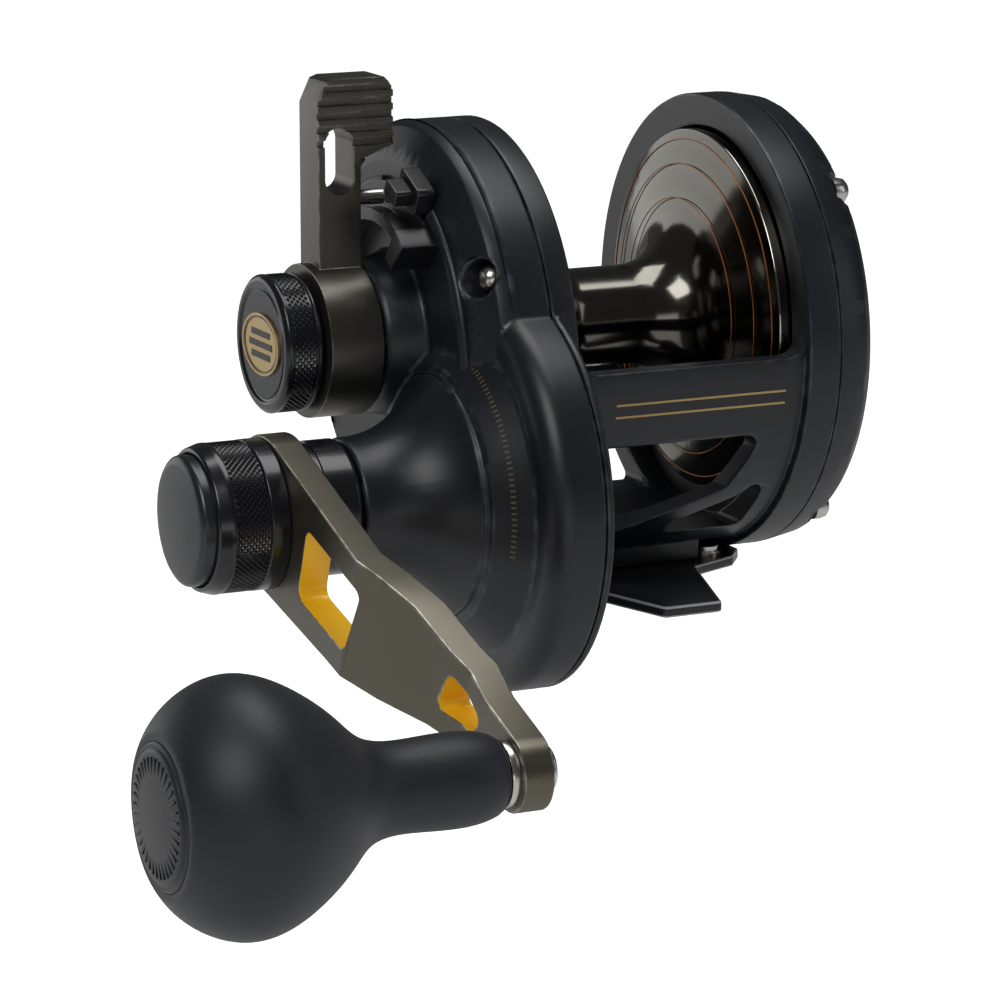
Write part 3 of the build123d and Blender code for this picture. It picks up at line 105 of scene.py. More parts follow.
class ShaderGroups:
    """The shader node groups that several finishes share, each built once."""

    def __init__(self) -> None:
        """Build the groups."""
        self.grain = self._grain()
        self.turned = self._turned()
        self.brushed = self._brushed()
        self.weave = self._weave()
        # the group of the painted edge highlight on rounded edges
        self.highlight_patches = self._highlight_patches()

    @staticmethod
    def _start(name: str, inputs: dict[str, float | Colour], outputs: dict[str, str]) -> tuple:
        """Open a group.

        Args:
            name: the group's name.
            inputs: each input's name and default, a number or a colour.
            outputs: each output's name and socket type.

        Returns:
            The tree, its input node and its output node.
        """
        tree = bpy.data.node_groups.new(name, "ShaderNodeTree")
        for title, value in inputs.items():
            kind = "NodeSocketFloat" if isinstance(value, (int, float)) else "NodeSocketColor"
            made = tree.interface.new_socket(title, in_out="INPUT", socket_type=kind)
            made.default_value = value if kind == "NodeSocketFloat" else (*value, 1.0)
        for title, kind in outputs.items():
            tree.interface.new_socket(title, in_out="OUTPUT", socket_type=kind)
        return tree, tree.nodes.new("NodeGroupInput"), tree.nodes.new("NodeGroupOutput")

    @staticmethod
    def _math(tree: Any, operation: str, first: Any, second: Any = None, third: Any = None) -> Any:
        """Add a Math node to a tree.

        Args:
            tree: the node tree.
            operation: the node's operation.
            first: a socket or a number, as are second and third.

        Returns:
            The node's output socket.
        """
        made = tree.nodes.new("ShaderNodeMath")
        made.operation = operation
        for slot, value in enumerate((first, second, third)):
            if value is None:
                continue
            if isinstance(value, (int, float)):
                made.inputs[slot].default_value = value
            else:
                tree.links.new(value, made.inputs[slot])
        return made.outputs[0]

    @staticmethod
    def _noise(tree: Any, scale: Any, vector: Any = None, w: Any = None, detail: float = 3.0) -> Any:
        """Add a Noise node fed by a vector, or by one number, and give its value socket."""
        made = tree.nodes.new("ShaderNodeTexNoise")
        made.inputs["Detail"].default_value = detail
        if w is not None:
            made.noise_dimensions = "1D"
            tree.links.new(w, made.inputs["W"])
        if vector is not None:
            tree.links.new(vector, made.inputs["Vector"])
        if isinstance(scale, (int, float)):
            made.inputs["Scale"].default_value = scale
        else:
            tree.links.new(scale, made.inputs["Scale"])
        return made.outputs["Fac"] if "Fac" in made.outputs else made.outputs[0]

    def _blend(self, tree: Any, mask: Any, first: Any, second: Any) -> Any:
        """Add a colour Mix node and give its result socket."""
        made = tree.nodes.new("ShaderNodeMix")
        made.data_type = "RGBA"
        tree.links.new(mask, made.inputs["Factor"])
        tree.links.new(first, made.inputs["A"])
        tree.links.new(second, made.inputs["B"])
        return made.outputs["Result"]

    def _clamp(self, tree: Any, value: Any) -> Any:
        """Keep a value between 0 and 1."""
        return self._math(tree, "MINIMUM", self._math(tree, "MAXIMUM", value, 0.0), 1.0)

    def _surface(self, name: str, scale: float, roughness: float, extra: dict | None = None) -> tuple:
        """Open the group of a surface, with the inputs and outputs that every surface has.

        Args:
            name: the group's name.
            scale: the default of its scale input.
            roughness: the default of its roughness input.
            extra: further inputs, by name.

        Returns:
            The tree, its input node and its output node.
        """
        grey = (0.5, 0.5, 0.5)
        inputs = {"Base": grey, "Tint": grey, "Scale": scale, "Roughness": roughness, "Spread": 0.1}
        inputs.update(extra or {})
        outputs = {"Color": "NodeSocketColor", "Roughness": "NodeSocketFloat", "Height": "NodeSocketFloat"}
        return self._start(name, inputs, outputs)

    def _close(self, group: tuple, mask: Any, relief: Any, drift: Any) -> Any:
        """End a surface's group.

        Args:
            group: the tree, its input node and its output node.
            mask: what mixes the base and the tint.
            relief: the height.
            drift: what the roughness follows, about 0.5.

        Returns:
            The tree.
        """
        tree, into, out = group
        colour = self._blend(tree, mask, into.outputs["Base"], into.outputs["Tint"])
        tree.links.new(colour, out.inputs["Color"])
        centred = self._math(tree, "SUBTRACT", drift, 0.5)
        rough = self._math(tree, "MULTIPLY_ADD", centred, into.outputs["Spread"], into.outputs["Roughness"])
        tree.links.new(rough, out.inputs["Roughness"])
        tree.links.new(relief, out.inputs["Height"])
        return tree

    def _grain(self) -> Any:
        """Fine grain with a slow drift of colour: for castings, plastics and foam."""
        group = self._surface("surface_grain", 4000.0, 0.5)
        tree, into, _ = group
        place = tree.nodes.new("ShaderNodeTexCoord").outputs["Object"]
        fine = self._noise(tree, into.outputs["Scale"], place, detail=2.0)
        wide_scale = self._math(tree, "MULTIPLY", into.outputs["Scale"], 0.02)
        wide = self._noise(tree, wide_scale, place, detail=4.0)
        mask = self._clamp(tree, self._math(tree, "MULTIPLY_ADD", wide, 2.4, -0.7))
        halves = [self._math(tree, "MULTIPLY", noise, 0.5) for noise in (fine, wide)]
        return self._close(group, mask, fine, self._math(tree, "ADD", *halves))

    def _turned(self) -> Any:
        """Fine rings about an axis parallel to X: for lathe-turned pieces."""
        group = self._surface("turned_lines", 4000.0, 0.3, {"Axis Y": 0.0, "Axis Z": 0.0})
        tree, into, _ = group
        parts = tree.nodes.new("ShaderNodeSeparateXYZ")
        tree.links.new(tree.nodes.new("ShaderNodeTexCoord").outputs["Object"], parts.inputs[0])
        offsets = [self._math(tree, "SUBTRACT", parts.outputs[c], into.outputs[f"Axis {c}"]) for c in "YZ"]
        squares = [self._math(tree, "MULTIPLY", offset, offset) for offset in offsets]
        radius = self._math(tree, "SQRT", self._math(tree, "ADD", *squares))
        along = self._math(tree, "ADD", radius, parts.outputs["X"])
        fine = self._noise(tree, into.outputs["Scale"], w=along, detail=2.0)
        wide_scale = self._math(tree, "MULTIPLY", into.outputs["Scale"], 0.08)
        wide = self._noise(tree, wide_scale, w=along, detail=2.0)
        return self._close(group, wide, fine, fine)

    def _brushed(self) -> Any:
        """Short strokes along Z: for flat machined and anodised pieces."""
        group = self._surface("brushed_strokes", 3000.0, 0.3)
        tree, into, _ = group
        squeeze = tree.nodes.new("ShaderNodeMapping")
        squeeze.inputs["Scale"].default_value = (1.0, 1.0, 0.06)
        tree.links.new(tree.nodes.new("ShaderNodeTexCoord").outputs["Object"], squeeze.inputs["Vector"])
        fine = self._noise(tree, into.outputs["Scale"], squeeze.outputs[0])
        wide_scale = self._math(tree, "MULTIPLY", into.outputs["Scale"], 0.05)
        wide = self._noise(tree, wide_scale, squeeze.outputs[0])
        return self._close(group, wide, fine, fine)

    def _weave(self) -> Any:
        """Crossed bundles in the plane of the side plates: for woven fibre."""
        group = self._surface("fibre_weave", 3000.0, 0.4)
        tree, into, _ = group
        parts = tree.nodes.new("ShaderNodeSeparateXYZ")
        tree.links.new(tree.nodes.new("ShaderNodeTexCoord").outputs["Object"], parts.inputs[0])
        waves = [
            self._math(tree, "SINE", self._math(tree, "MULTIPLY", parts.outputs[name], into.outputs["Scale"]))
            for name in ("Y", "Z")
        ]
        mask = self._math(tree, "MULTIPLY_ADD", self._math(tree, "MULTIPLY", *waves), 0.5, 0.5)
        return self._close(group, mask, mask, mask)

    def _highlight_patches(self) -> Any:
        """Painted edge highlight in noise patches: mixes a lighter colour and roughness over another surface.
        """
        tree, into, out = self._start(
            "edge_wear",
            {"Color": (0.5, 0.5, 0.5), "Worn": (0.5, 0.5, 0.5), "Roughness": 0.4, "Amount": 0.5},
            {"Color": "NodeSocketColor", "Roughness": "NodeSocketFloat"},
        )
        place = tree.nodes.new("ShaderNodeTexCoord").outputs["Object"]
        # noise patches where the painted edge highlight shows
        patches = self._noise(tree, 420.0, place, detail=5.0)
        pushed = self._math(tree, "ADD", patches, self._math(tree, "SUBTRACT", into.outputs["Amount"], 0.5))
        mask = self._clamp(tree, self._math(tree, "MULTIPLY_ADD", pushed, 5.0, -2.0))
        colour = self._blend(tree, mask, into.outputs["Color"], into.outputs["Worn"])
        tree.links.new(colour, out.inputs["Color"])
        rough = self._math(tree, "MULTIPLY_ADD", mask, -0.08, into.outputs["Roughness"])
        tree.links.new(rough, out.inputs["Roughness"])
        return tree


@dataclass(frozen=True)
class Finish:
    """One surface finish, from which its material and its rounded-edge material, with a painted edge
    highlight, are made.

    Colours are linear; scale counts features in a metre; relief is the depth of the fine
    texture in metres.
    """

    name: str
    base: Colour
    tint: Colour
    roughness: float
    spread: float = 0.1
    scale: float = 4000.0
    relief: float = 0.00002
    strength: float = 0.25
    metallic: float = 0.0
    coat: float = 0.0
    sheen: float = 0.0
    specular: float = 0.5
    surface: Surface = Surface.GRAIN
    turning: Turning | None = None
    worn: Colour | None = None
    highlight_patches: float = 0.45

    def material(self, groups: ShaderGroups, worn: bool = False) -> bpy.types.Material:
        """Build the material, or the one for its rounded edges, which carries the painted edge highlight.

        Args:
            groups: the shared shader groups.
            worn: whether it is the material of the rounded edges, with the painted edge highlight.

        Returns:
            The material.
        """
        made = bpy.data.materials.new(self.name + ("_edge" if worn else ""))
        made.use_nodes = True
        tree = made.node_tree
        shader = tree.nodes["Principled BSDF"]
        shader.inputs["Metallic"].default_value = self.metallic
        shader.inputs["Coat Weight"].default_value = self.coat
        shader.inputs["Coat Roughness"].default_value = 0.08
        shader.inputs["Sheen Weight"].default_value = self.sheen
        shader.inputs["Specular IOR Level"].default_value = self.specular
        kinds = {
            Surface.GRAIN: groups.grain,
            Surface.TURNED: groups.turned,
            Surface.BRUSHED: groups.brushed,
            Surface.WEAVE: groups.weave,
        }
        relief = tree.nodes.new("ShaderNodeGroup")
        relief.node_tree = kinds[self.surface]
        relief.inputs["Base"].default_value = (*self.base, 1.0)
        relief.inputs["Tint"].default_value = (*self.tint, 1.0)
        relief.inputs["Scale"].default_value = self.scale
        relief.inputs["Roughness"].default_value = self.roughness
        relief.inputs["Spread"].default_value = self.spread
        if self.turning is not None and self.surface is Surface.TURNED:
            y, z = self.turning.place()
            relief.inputs["Axis Y"].default_value = y
            relief.inputs["Axis Z"].default_value = z
        colour = relief.outputs["Color"]
        rough = relief.outputs["Roughness"]
        # The rounded edges get a painted edge highlight: a lighter colour mixed in noise patches.
        if worn and self.worn is not None:
            highlighted = tree.nodes.new("ShaderNodeGroup")
            highlighted.node_tree = groups.highlight_patches
            highlighted.inputs["Worn"].default_value = (*self.worn, 1.0)
            highlighted.inputs["Amount"].default_value = self.highlight_patches
            tree.links.new(colour, highlighted.inputs["Color"])
            tree.links.new(rough, highlighted.inputs["Roughness"])
            colour = highlighted.outputs["Color"]
            rough = highlighted.outputs["Roughness"]
        tree.links.new(colour, shader.inputs["Base Color"])
        tree.links.new(rough, shader.inputs["Roughness"])
        bump = tree.nodes.new("ShaderNodeBump")
        bump.inputs["Strength"].default_value = self.strength
        bump.inputs["Distance"].default_value = self.relief
        tree.links.new(relief.outputs["Height"], bump.inputs["Height"])
        tree.links.new(bump.outputs["Normal"], shader.inputs["Normal"])
        return made


CASTING = Finish(
    "black_casting",
    base=(0.0060, 0.0070, 0.0105),
    tint=(0.0078, 0.0092, 0.0140),
    roughness=0.38,
    spread=0.10,
    scale=9000.0,
    relief=0.00003,
    strength=0.22,
    # the lighter edge colour below is a painted edge highlight on the rounded edges
    worn=(0.030, 0.033, 0.043),
    highlight_patches=0.46,
)
SATIN = Finish(
    "black_satin",
    base=(0.0055, 0.0060, 0.0085),
    tint=(0.0075, 0.0080, 0.0110),
    roughness=0.24,
    spread=0.08,
    scale=7000.0,
    strength=0.10,
    coat=0.25,
    # the lighter edge colour below is a painted edge highlight on the rounded edges
    worn=(0.045, 0.047, 0.052),
)
FOOT_BLACK = Finish(
    "foot_black",
    base=(0.010, 0.011, 0.014),
    tint=(0.018, 0.019, 0.022),
    roughness=0.30,
    spread=0.16,
    scale=3000.0,
    # the lighter edge colour below is a painted edge highlight on the rounded edges
    worn=(0.42, 0.42, 0.43),
    highlight_patches=0.86,
)
LEVER_METAL = Finish(
    "gunmetal",
    base=(0.096, 0.094, 0.078),
    tint=(0.122, 0.118, 0.100),
    roughness=0.34,
    spread=0.16,
    scale=2600.0,
    metallic=0.9,
    surface=Surface.BRUSHED,
    # the lighter edge colour below is a painted edge highlight on the rounded edges
    worn=(0.26, 0.25, 0.21),
    highlight_patches=0.50,
)
ARM_METAL = Finish(
    "gunmetal_arm",
    base=(0.128, 0.118, 0.090),
    tint=(0.156, 0.144, 0.112),
    roughness=0.36,
    spread=0.14,
    scale=2600.0,
    metallic=0.9,
    surface=Surface.BRUSHED,
    # the lighter edge colour below is a painted edge highlight on the rounded edges
    worn=(0.30, 0.29, 0.25),
    highlight_patches=0.50,
)
BUTTON_METAL = Finish(
    "button_metal",
    base=(0.050, 0.052, 0.056),
    tint=(0.064, 0.066, 0.070),
    roughness=0.30,
    spread=0.08,
    scale=5200.0,
    relief=0.00001,
    strength=0.15,
    metallic=0.75,
    surface=Surface.TURNED,
    turning=Turning.DRIVE,
)
SPOOL_METAL = Finish(
    "polished_spool",
    base=(0.135, 0.130, 0.112),
    tint=(0.165, 0.158, 0.138),
    roughness=0.14,
    spread=0.06,
    scale=5200.0,
    relief=0.000008,
    strength=0.14,
    metallic=1.0,
    surface=Surface.TURNED,
    turning=Turning.SPOOL,
    # the lighter edge colour below is a painted edge highlight on the rounded edges
    worn=(0.42, 0.40, 0.36),
    highlight_patches=0.9,
)
STEEL = Finish(
    "stainless",
    base=(0.56, 0.55, 0.52),
    tint=(0.66, 0.65, 0.62),
    roughness=0.24,
    spread=0.12,
    scale=6000.0,
    relief=0.000008,
    strength=0.15,
    metallic=1.0,
    # the lighter edge colour below is a painted edge highlight on the rounded edges
    worn=(0.80, 0.79, 0.76),
)
GEAR_STEEL = Finish(
    "gear_steel",
    base=(0.34, 0.34, 0.34),
    tint=(0.44, 0.43, 0.42),
    roughness=0.34,
    spread=0.14,
    metallic=1.0,
    surface=Surface.TURNED,
    turning=Turning.DRIVE,
)
BRASS = Finish(
    "brass",
    base=(0.62, 0.42, 0.15),
    tint=(0.72, 0.50, 0.20),
    roughness=0.30,
    metallic=1.0,
)
FOAM = Finish(
    "grip_rubber",
    base=(0.0080, 0.0095, 0.0145),
    tint=(0.0105, 0.0122, 0.0180),
    roughness=0.48,
    spread=0.10,
    scale=11000.0,
    relief=0.00004,
    strength=0.22,
    sheen=0.06,
)
PLASTIC = Finish(
    "black_plastic",
    base=(0.0060, 0.0063, 0.0080),
    tint=(0.0085, 0.0090, 0.0105),
    roughness=0.32,
    scale=8000.0,
    strength=0.15,
    # the lighter edge colour below is a painted edge highlight on the rounded edges
    worn=(0.030, 0.031, 0.035),
)
GOLD_ANODISED = Finish(
    "gold_anodised",
    base=(0.95, 0.52, 0.012),
    tint=(1.0, 0.60, 0.020),
    roughness=0.30,
    spread=0.10,
    metallic=0.05,
    surface=Surface.BRUSHED,
)
BADGE_GOLD = Finish(
    "badge_gold",
    base=(0.56, 0.40, 0.18),
    tint=(0.62, 0.46, 0.22),
    roughness=0.34,
    metallic=0.7,
    surface=Surface.BRUSHED,
)
COPPER = Finish(
    "copper_line",
    base=(0.36, 0.125, 0.030),
    tint=(0.44, 0.160, 0.040),
    roughness=0.35,
    metallic=0.6,
)
PAINT_GOLD = Finish(
    "gold_paint",
    base=(0.42, 0.29, 0.105),
    tint=(0.50, 0.35, 0.130),
    roughness=0.42,
    metallic=0.35,
)
FAINT_GOLD = Finish(
    "faint_gold_paint",
    base=(0.105, 0.078, 0.036),
    tint=(0.135, 0.100, 0.046),
    roughness=0.45,
    metallic=0.2,
)
MEDAL_RUBBER = Finish(
    "medallion_rubber",
    base=(0.0140, 0.0150, 0.0190),
    tint=(0.0180, 0.0190, 0.0230),
    roughness=0.40,
    scale=11000.0,
    strength=0.15,
)
FIBRE = Finish(
    "drag_fibre",
    base=(0.012, 0.012, 0.013),
    tint=(0.045, 0.045, 0.048),
    roughness=0.42,
    scale=5200.0,
    surface=Surface.WEAVE,
)


class Paints:
    """Every finish's materials, made the first time each is asked for."""

    def __init__(self) -> None:
        """Make the shared groups."""
        self.groups = ShaderGroups()
        self.made: dict[tuple[str, bool], bpy.types.Material] = {}

    def of(self, finish: Finish, worn: bool = False) -> bpy.types.Material:
        """The material of a finish, or of its rounded edges with the painted edge highlight."""
        key = (finish.name, worn)
        if key not in self.made:
            self.made[key] = finish.material(self.groups, worn)
        return self.made[key]


paints = Paints()


# ---------------------------------------------------------------- mesh making


def add_object(name: str, mesh: bpy.types.Mesh) -> bpy.types.Object:
    """Link a mesh into the scene as an object at the origin."""
    made = bpy.data.objects.new(name, mesh)
    bpy.context.scene.collection.objects.link(made)
    return made


def object_from(solid: bmesh.types.BMesh, name: str, *materials: bpy.types.Material) -> bpy.types.Object:
    """Turn a bmesh into an object at the origin, and free the bmesh.

    Args:
        solid: the bmesh.
        name: the object's name.
        materials: its materials, in the order of the faces' indices.

    Returns:
        The object.
    """
    mesh = bpy.data.meshes.new(name)
    solid.to_mesh(mesh)
    solid.free()
    for material in materials:
        mesh.materials.append(material)
    return add_object(name, mesh)


def bridge(solid: bmesh.types.BMesh, first: list, second: list) -> list:
    """Join two loops of the same length by a band of faces, and give the faces."""
    count = len(first)
    return [
        solid.faces.new((first[k], first[(k + 1) % count], second[(k + 1) % count], second[k]))
        for k in range(count)
    ]


def settle(thing: bpy.types.Object) -> bpy.types.Object:
    """Turn an object's modifiers into its plain mesh.

    Args:
        thing: the object.

    Returns:
        The same object, without modifiers.
    """
    graph = bpy.context.evaluated_depsgraph_get()
    graph.update()
    ready = thing.evaluated_get(graph)
    mesh = bpy.data.meshes.new_from_object(ready, preserve_all_data_layers=True, depsgraph=graph)
    thing.modifiers.clear()
    thing.data = mesh
    mesh.name = thing.name
    return thing


def smooth(thing: bpy.types.Object, sharp: float = SHARP_ANGLE) -> bpy.types.Object:
    """Shade an object smooth with flat faces kept flat, and edges past an angle sharp."""
    thing.data.polygons.foreach_set("use_smooth", [True] * len(thing.data.polygons))
    thing.data.set_sharp_from_angle(angle=sharp)
    weighted = thing.modifiers.new("flat_faces", "WEIGHTED_NORMAL")
    weighted.keep_sharp = True
    weighted.weight = 80
    return settle(thing)


def finish_piece(
    thing: bpy.types.Object,
    body: str,
    replaces: tuple[str, ...] = (),
) -> bpy.types.Object:
    """Put a piece on its body and hide the CAD nodes that it stands for.

    Args:
        thing: the piece.
        body: the CAD body that it rides on.
        replaces: the CAD nodes that it stands for.

    Returns:
        The piece.
    """
    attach(thing, body)
    if replaces:
        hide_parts(*replaces)
    log.info("%s: %d faces on %s", thing.name, len(thing.data.polygons), body)
    return thing


def cad_copy(
    node: str,
    name: str,
    finish: Finish,
    edge: float = 0.25,
    angle: float = 34.0,
    segments: int = 2,
    cutter: bpy.types.Object | None = None,
) -> bpy.types.Object:
    """Copy a CAD node's mesh, merge it and round its edges.

    Args:
        node: the CAD node.
        name: the new object's name.
        finish: its finish, whose edge material, with a painted edge highlight, goes on the rounded edges.
        edge: how far each edge is rounded back, in millimetres.
        angle: the least angle of an edge that is rounded, in degrees.
        segments: facets across each rounded edge.
        cutter: a shape cut out of the copy before its edges are rounded.

    Returns:
        The new object.
    """
    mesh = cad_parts[node].data.copy()
    mesh.name = name
    if "custom_normal" in mesh.attributes:
        mesh.attributes.remove(mesh.attributes["custom_normal"])
    solid = bmesh.new()
    solid.from_mesh(mesh)
    bmesh.ops.remove_doubles(solid, verts=solid.verts, dist=WELD)
    bmesh.ops.dissolve_degenerate(solid, edges=solid.edges, dist=WELD)
    bmesh.ops.dissolve_limit(solid, angle_limit=FLAT_ANGLE, verts=solid.verts, edges=solid.edges)
    for face in solid.faces:
        face.material_index = 0
        face.smooth = True
    for border in solid.edges:
        border.smooth = True
    solid.to_mesh(mesh)
    solid.free()
    mesh.materials.clear()
    mesh.materials.append(paints.of(finish))
    # slot 1: the rounded edges' material, with the painted edge highlight
    mesh.materials.append(paints.of(finish, worn=True))
    made = add_object(name, mesh)
    if cutter is not None:
        cut = made.modifiers.new("cut", "BOOLEAN")
        cut.operation = "DIFFERENCE"
        cut.solver = "EXACT"
        cut.object = cutter
        settle(made)
    if edge > 0.0:
        bevel = made.modifiers.new("rounded_edges", "BEVEL")
        bevel.width = edge * MM
        bevel.segments = segments
        bevel.limit_method = "ANGLE"
        bevel.angle_limit = math.radians(angle)
        bevel.use_clamp_overlap = False
        bevel.miter_outer = "MITER_SHARP"
        bevel.material = 1
        settle(made)
    return smooth(made)


def rounded(points: Profile, closed: bool, steps: int = 5) -> list[Place]:
    """Round the corners of a profile.

    Args:
        points: (x, radius, rounding) of each corner, in millimetres.
        closed: whether the last corner joins the first.
        steps: facets across each rounded corner.

    Returns:
        The (x, radius) points, in metres.
    """
    out: list[Place] = []
    count = len(points)
    for i, (x, r, turn) in enumerate(points):
        here = Vector((x, r))
        if turn <= 0.0 or (not closed and i in (0, count - 1)):
            out.append((x * MM, r * MM))
            continue
        before = Vector(points[i - 1][:2])
        after = Vector(points[(i + 1) % count][:2])
        reach = min(turn, 0.48 * (before - here).length, 0.48 * (after - here).length)
        start = here + (before - here).normalized() * reach
        end = here + (after - here).normalized() * reach
        for step in range(steps + 1):
            t = step / steps
            spot = start.lerp(here, t).lerp(here.lerp(end, t), t)
            out.append((spot.x * MM, spot.y * MM))
    return out


@dataclass
class Lathe:
    """Turns profiles about an axis parallel to X."""

    turning: Turning
    segments: int = 144

    def turn(self, name: str, points: Profile, finish: Finish, closed: bool = False) -> bpy.types.Object:
        """Turn a profile into a closed solid.

        Args:
            name: the object's name.
            points: (x, radius, rounding) corners in millimetres; an open profile starts
                and ends on the axis, and a closed one makes a ring.
            finish: the finish.
            closed: whether the profile is a closed section.

        Returns:
            The object.
        """
        cy, cz = self.turning.place()
        outline = rounded(points, closed)
        solid = bmesh.new()
        rows = []
        for x, r in outline:
            if r < WELD:
                rows.append([solid.verts.new((x, cy, cz))])
                continue
            rows.append(
                [
                    solid.verts.new((x, cy + r * math.cos(a), cz + r * math.sin(a)))
                    for a in (math.tau * k / self.segments for k in range(self.segments))
                ]
            )
        pairs = list(zip(rows, rows[1:]))
        if closed:
            pairs.append((rows[-1], rows[0]))
        for first, second in pairs:
            for k in range(self.segments):
                n = (k + 1) % self.segments
                around = ((first, k), (first, n), (second, n), (second, k))
                corners = list(dict.fromkeys(row[i % len(row)] for row, i in around))
                if len(corners) > 2:
                    solid.faces.new(corners)
        bmesh.ops.remove_doubles(solid, verts=solid.verts, dist=WELD * 0.25)
        bmesh.ops.recalc_face_normals(solid, faces=solid.faces)
        return smooth(object_from(solid, name, paints.of(finish)), math.radians(30.0))


def shape_mesh(name: str, points: Profile, faces: list[tuple[int, ...]]) -> bpy.types.Object:
    """Make a small closed shape that a pattern repeats, and keep it out of the scene.

    Args:
        name: the shape's name.
        points: its corners in millimetres: x across, y along the ring, z outward.
        faces: its faces, as corner numbers.

    Returns:
        The shape's object, which isn't linked to the scene.
    """
    mesh = bpy.data.meshes.new(name)
    mesh.from_pydata([tuple(c * MM for c in p) for p in points], [], faces)
    solid = bmesh.new()
    solid.from_mesh(mesh)
    bmesh.ops.recalc_face_normals(solid, faces=solid.faces)
    solid.to_mesh(mesh)
    solid.free()
    return bpy.data.objects.new(name, mesh)


def pyramid(width: float, length: float, height: float, sink: float) -> bpy.types.Object:
    """A four-sided point for a diamond knurl, turned on its corner."""
    points = [
        (-width / 2, 0.0, -sink),
        (0.0, -length / 2, -sink),
        (width / 2, 0.0, -sink),
        (0.0, length / 2, -sink),
        (0.0, 0.0, height),
    ]
    return shape_mesh("knurl_point", points, [(0, 1, 2, 3), (0, 1, 4), (1, 2, 4), (2, 3, 4), (3, 0, 4)])


def bar(
    width: float,
    length: float,
    height: float,
    sink: float,
    tilt: float = 0.0,
    taper: float = 0.7,
) -> bpy.types.Object:
    """A low bar with a narrower top.

    Args:
        width: its size across, along X.
        length: its size along the ring.
        height: how far it stands out.
        sink: how far its base goes in.
        tilt: its turn about the ring's direction, in degrees.
        taper: its top's size as a share of its base's.

    Returns:
        The shape.
    """
    c = math.cos(math.radians(tilt))
    s = math.sin(math.radians(tilt))
    points = []
    for level, share in ((-sink, 1.0), (height, taper)):
        for sx, sy in ((-1, -1), (1, -1), (1, 1), (-1, 1)):
            x = sx * width / 2 * share
            points.append((x * c - level * s, sy * length / 2 * share, x * s + level * c))
    sides = [(k, (k + 1) % 4, 4 + (k + 1) % 4, 4 + k) for k in range(4)]
    return shape_mesh("bar", points, [(3, 2, 1, 0), (4, 5, 6, 7), *sides])


# ---------------------------------------------------------------- geometry nodes


class Growth:
    """A Geometry Nodes tree with named inputs, and the tools to build and run it."""

    def __init__(self, name: str) -> None:
        """Open a tree.

        Args:
            name: the tree's name.
        """
        self.tree = bpy.data.node_groups.new(name, "GeometryNodeTree")
        self.tree.interface.new_socket("Geometry", in_out="OUTPUT", socket_type="NodeSocketGeometry")
        self.source = self.tree.nodes.new("NodeGroupInput")
        self.result = self.tree.nodes.new("NodeGroupOutput")

    def socket(self, name: str, kind: str) -> Any:
        """Add a named input of a socket kind, such as Float, and give its socket."""
        self.tree.interface.new_socket(name, in_out="INPUT", socket_type=f"NodeSocket{kind}")
        return self.source.outputs[name]

    def node(self, kind: str, **links: Any) -> Any:
        """Add a node.

        Args:
            kind: the node's type.
            links: values or sockets for inputs, named with _ for a space.

        Returns:
            The node.
        """
        made = self.tree.nodes.new(kind)
        for name, value in links.items():
            target = made.inputs[name.replace("_", " ")]
            if isinstance(value, bpy.types.NodeSocket):
                self.tree.links.new(value, target)
            else:
                target.default_value = value
        return made

    def math(self, operation: str, first: Any, second: Any = 0.0) -> Any:
        """Add a Math node on sockets or numbers and give its output."""
        made = self.tree.nodes.new("ShaderNodeMath")
        made.operation = operation
        for slot, value in enumerate((first, second)):
            if isinstance(value, bpy.types.NodeSocket):
                self.tree.links.new(value, made.inputs[slot])
            else:
                made.inputs[slot].default_value = value
        return made.outputs[0]

    def close(self, geometry: Any, material: Any, instances: bool = True) -> None:
        """End the tree: realise instances, set the material and give the geometry out.

        Args:
            geometry: the last geometry socket.
            material: the material input's socket.
            instances: whether there are instances to realise.
        """
        if instances:
            geometry = self.node("GeometryNodeRealizeInstances", Geometry=geometry).outputs[0]
        painted = self.node("GeometryNodeSetMaterial", Geometry=geometry, Material=material)
        self.tree.links.new(painted.outputs[0], self.result.inputs["Geometry"])

    def run(self, name: str, base: bpy.types.Mesh | None = None, **values: Any) -> bpy.types.Object:
        """Grow one piece.

        Args:
            name: the piece's name.
            base: the mesh that the tree works on, if it has one.
            values: the tree's inputs, named with _ for a space.

        Returns:
            The piece as a plain mesh object.
        """
        thing = add_object(name, base or bpy.data.meshes.new(name))
        modifier = thing.modifiers.new("growth", "NODES")
        modifier.node_group = self.tree
        items = self.tree.interface.items_tree
        by_name = {item.name: item.identifier for item in items if item.in_out == "INPUT"}
        for key, value in values.items():
            modifier[by_name[key.replace("_", " ")]] = value
        return settle(thing)


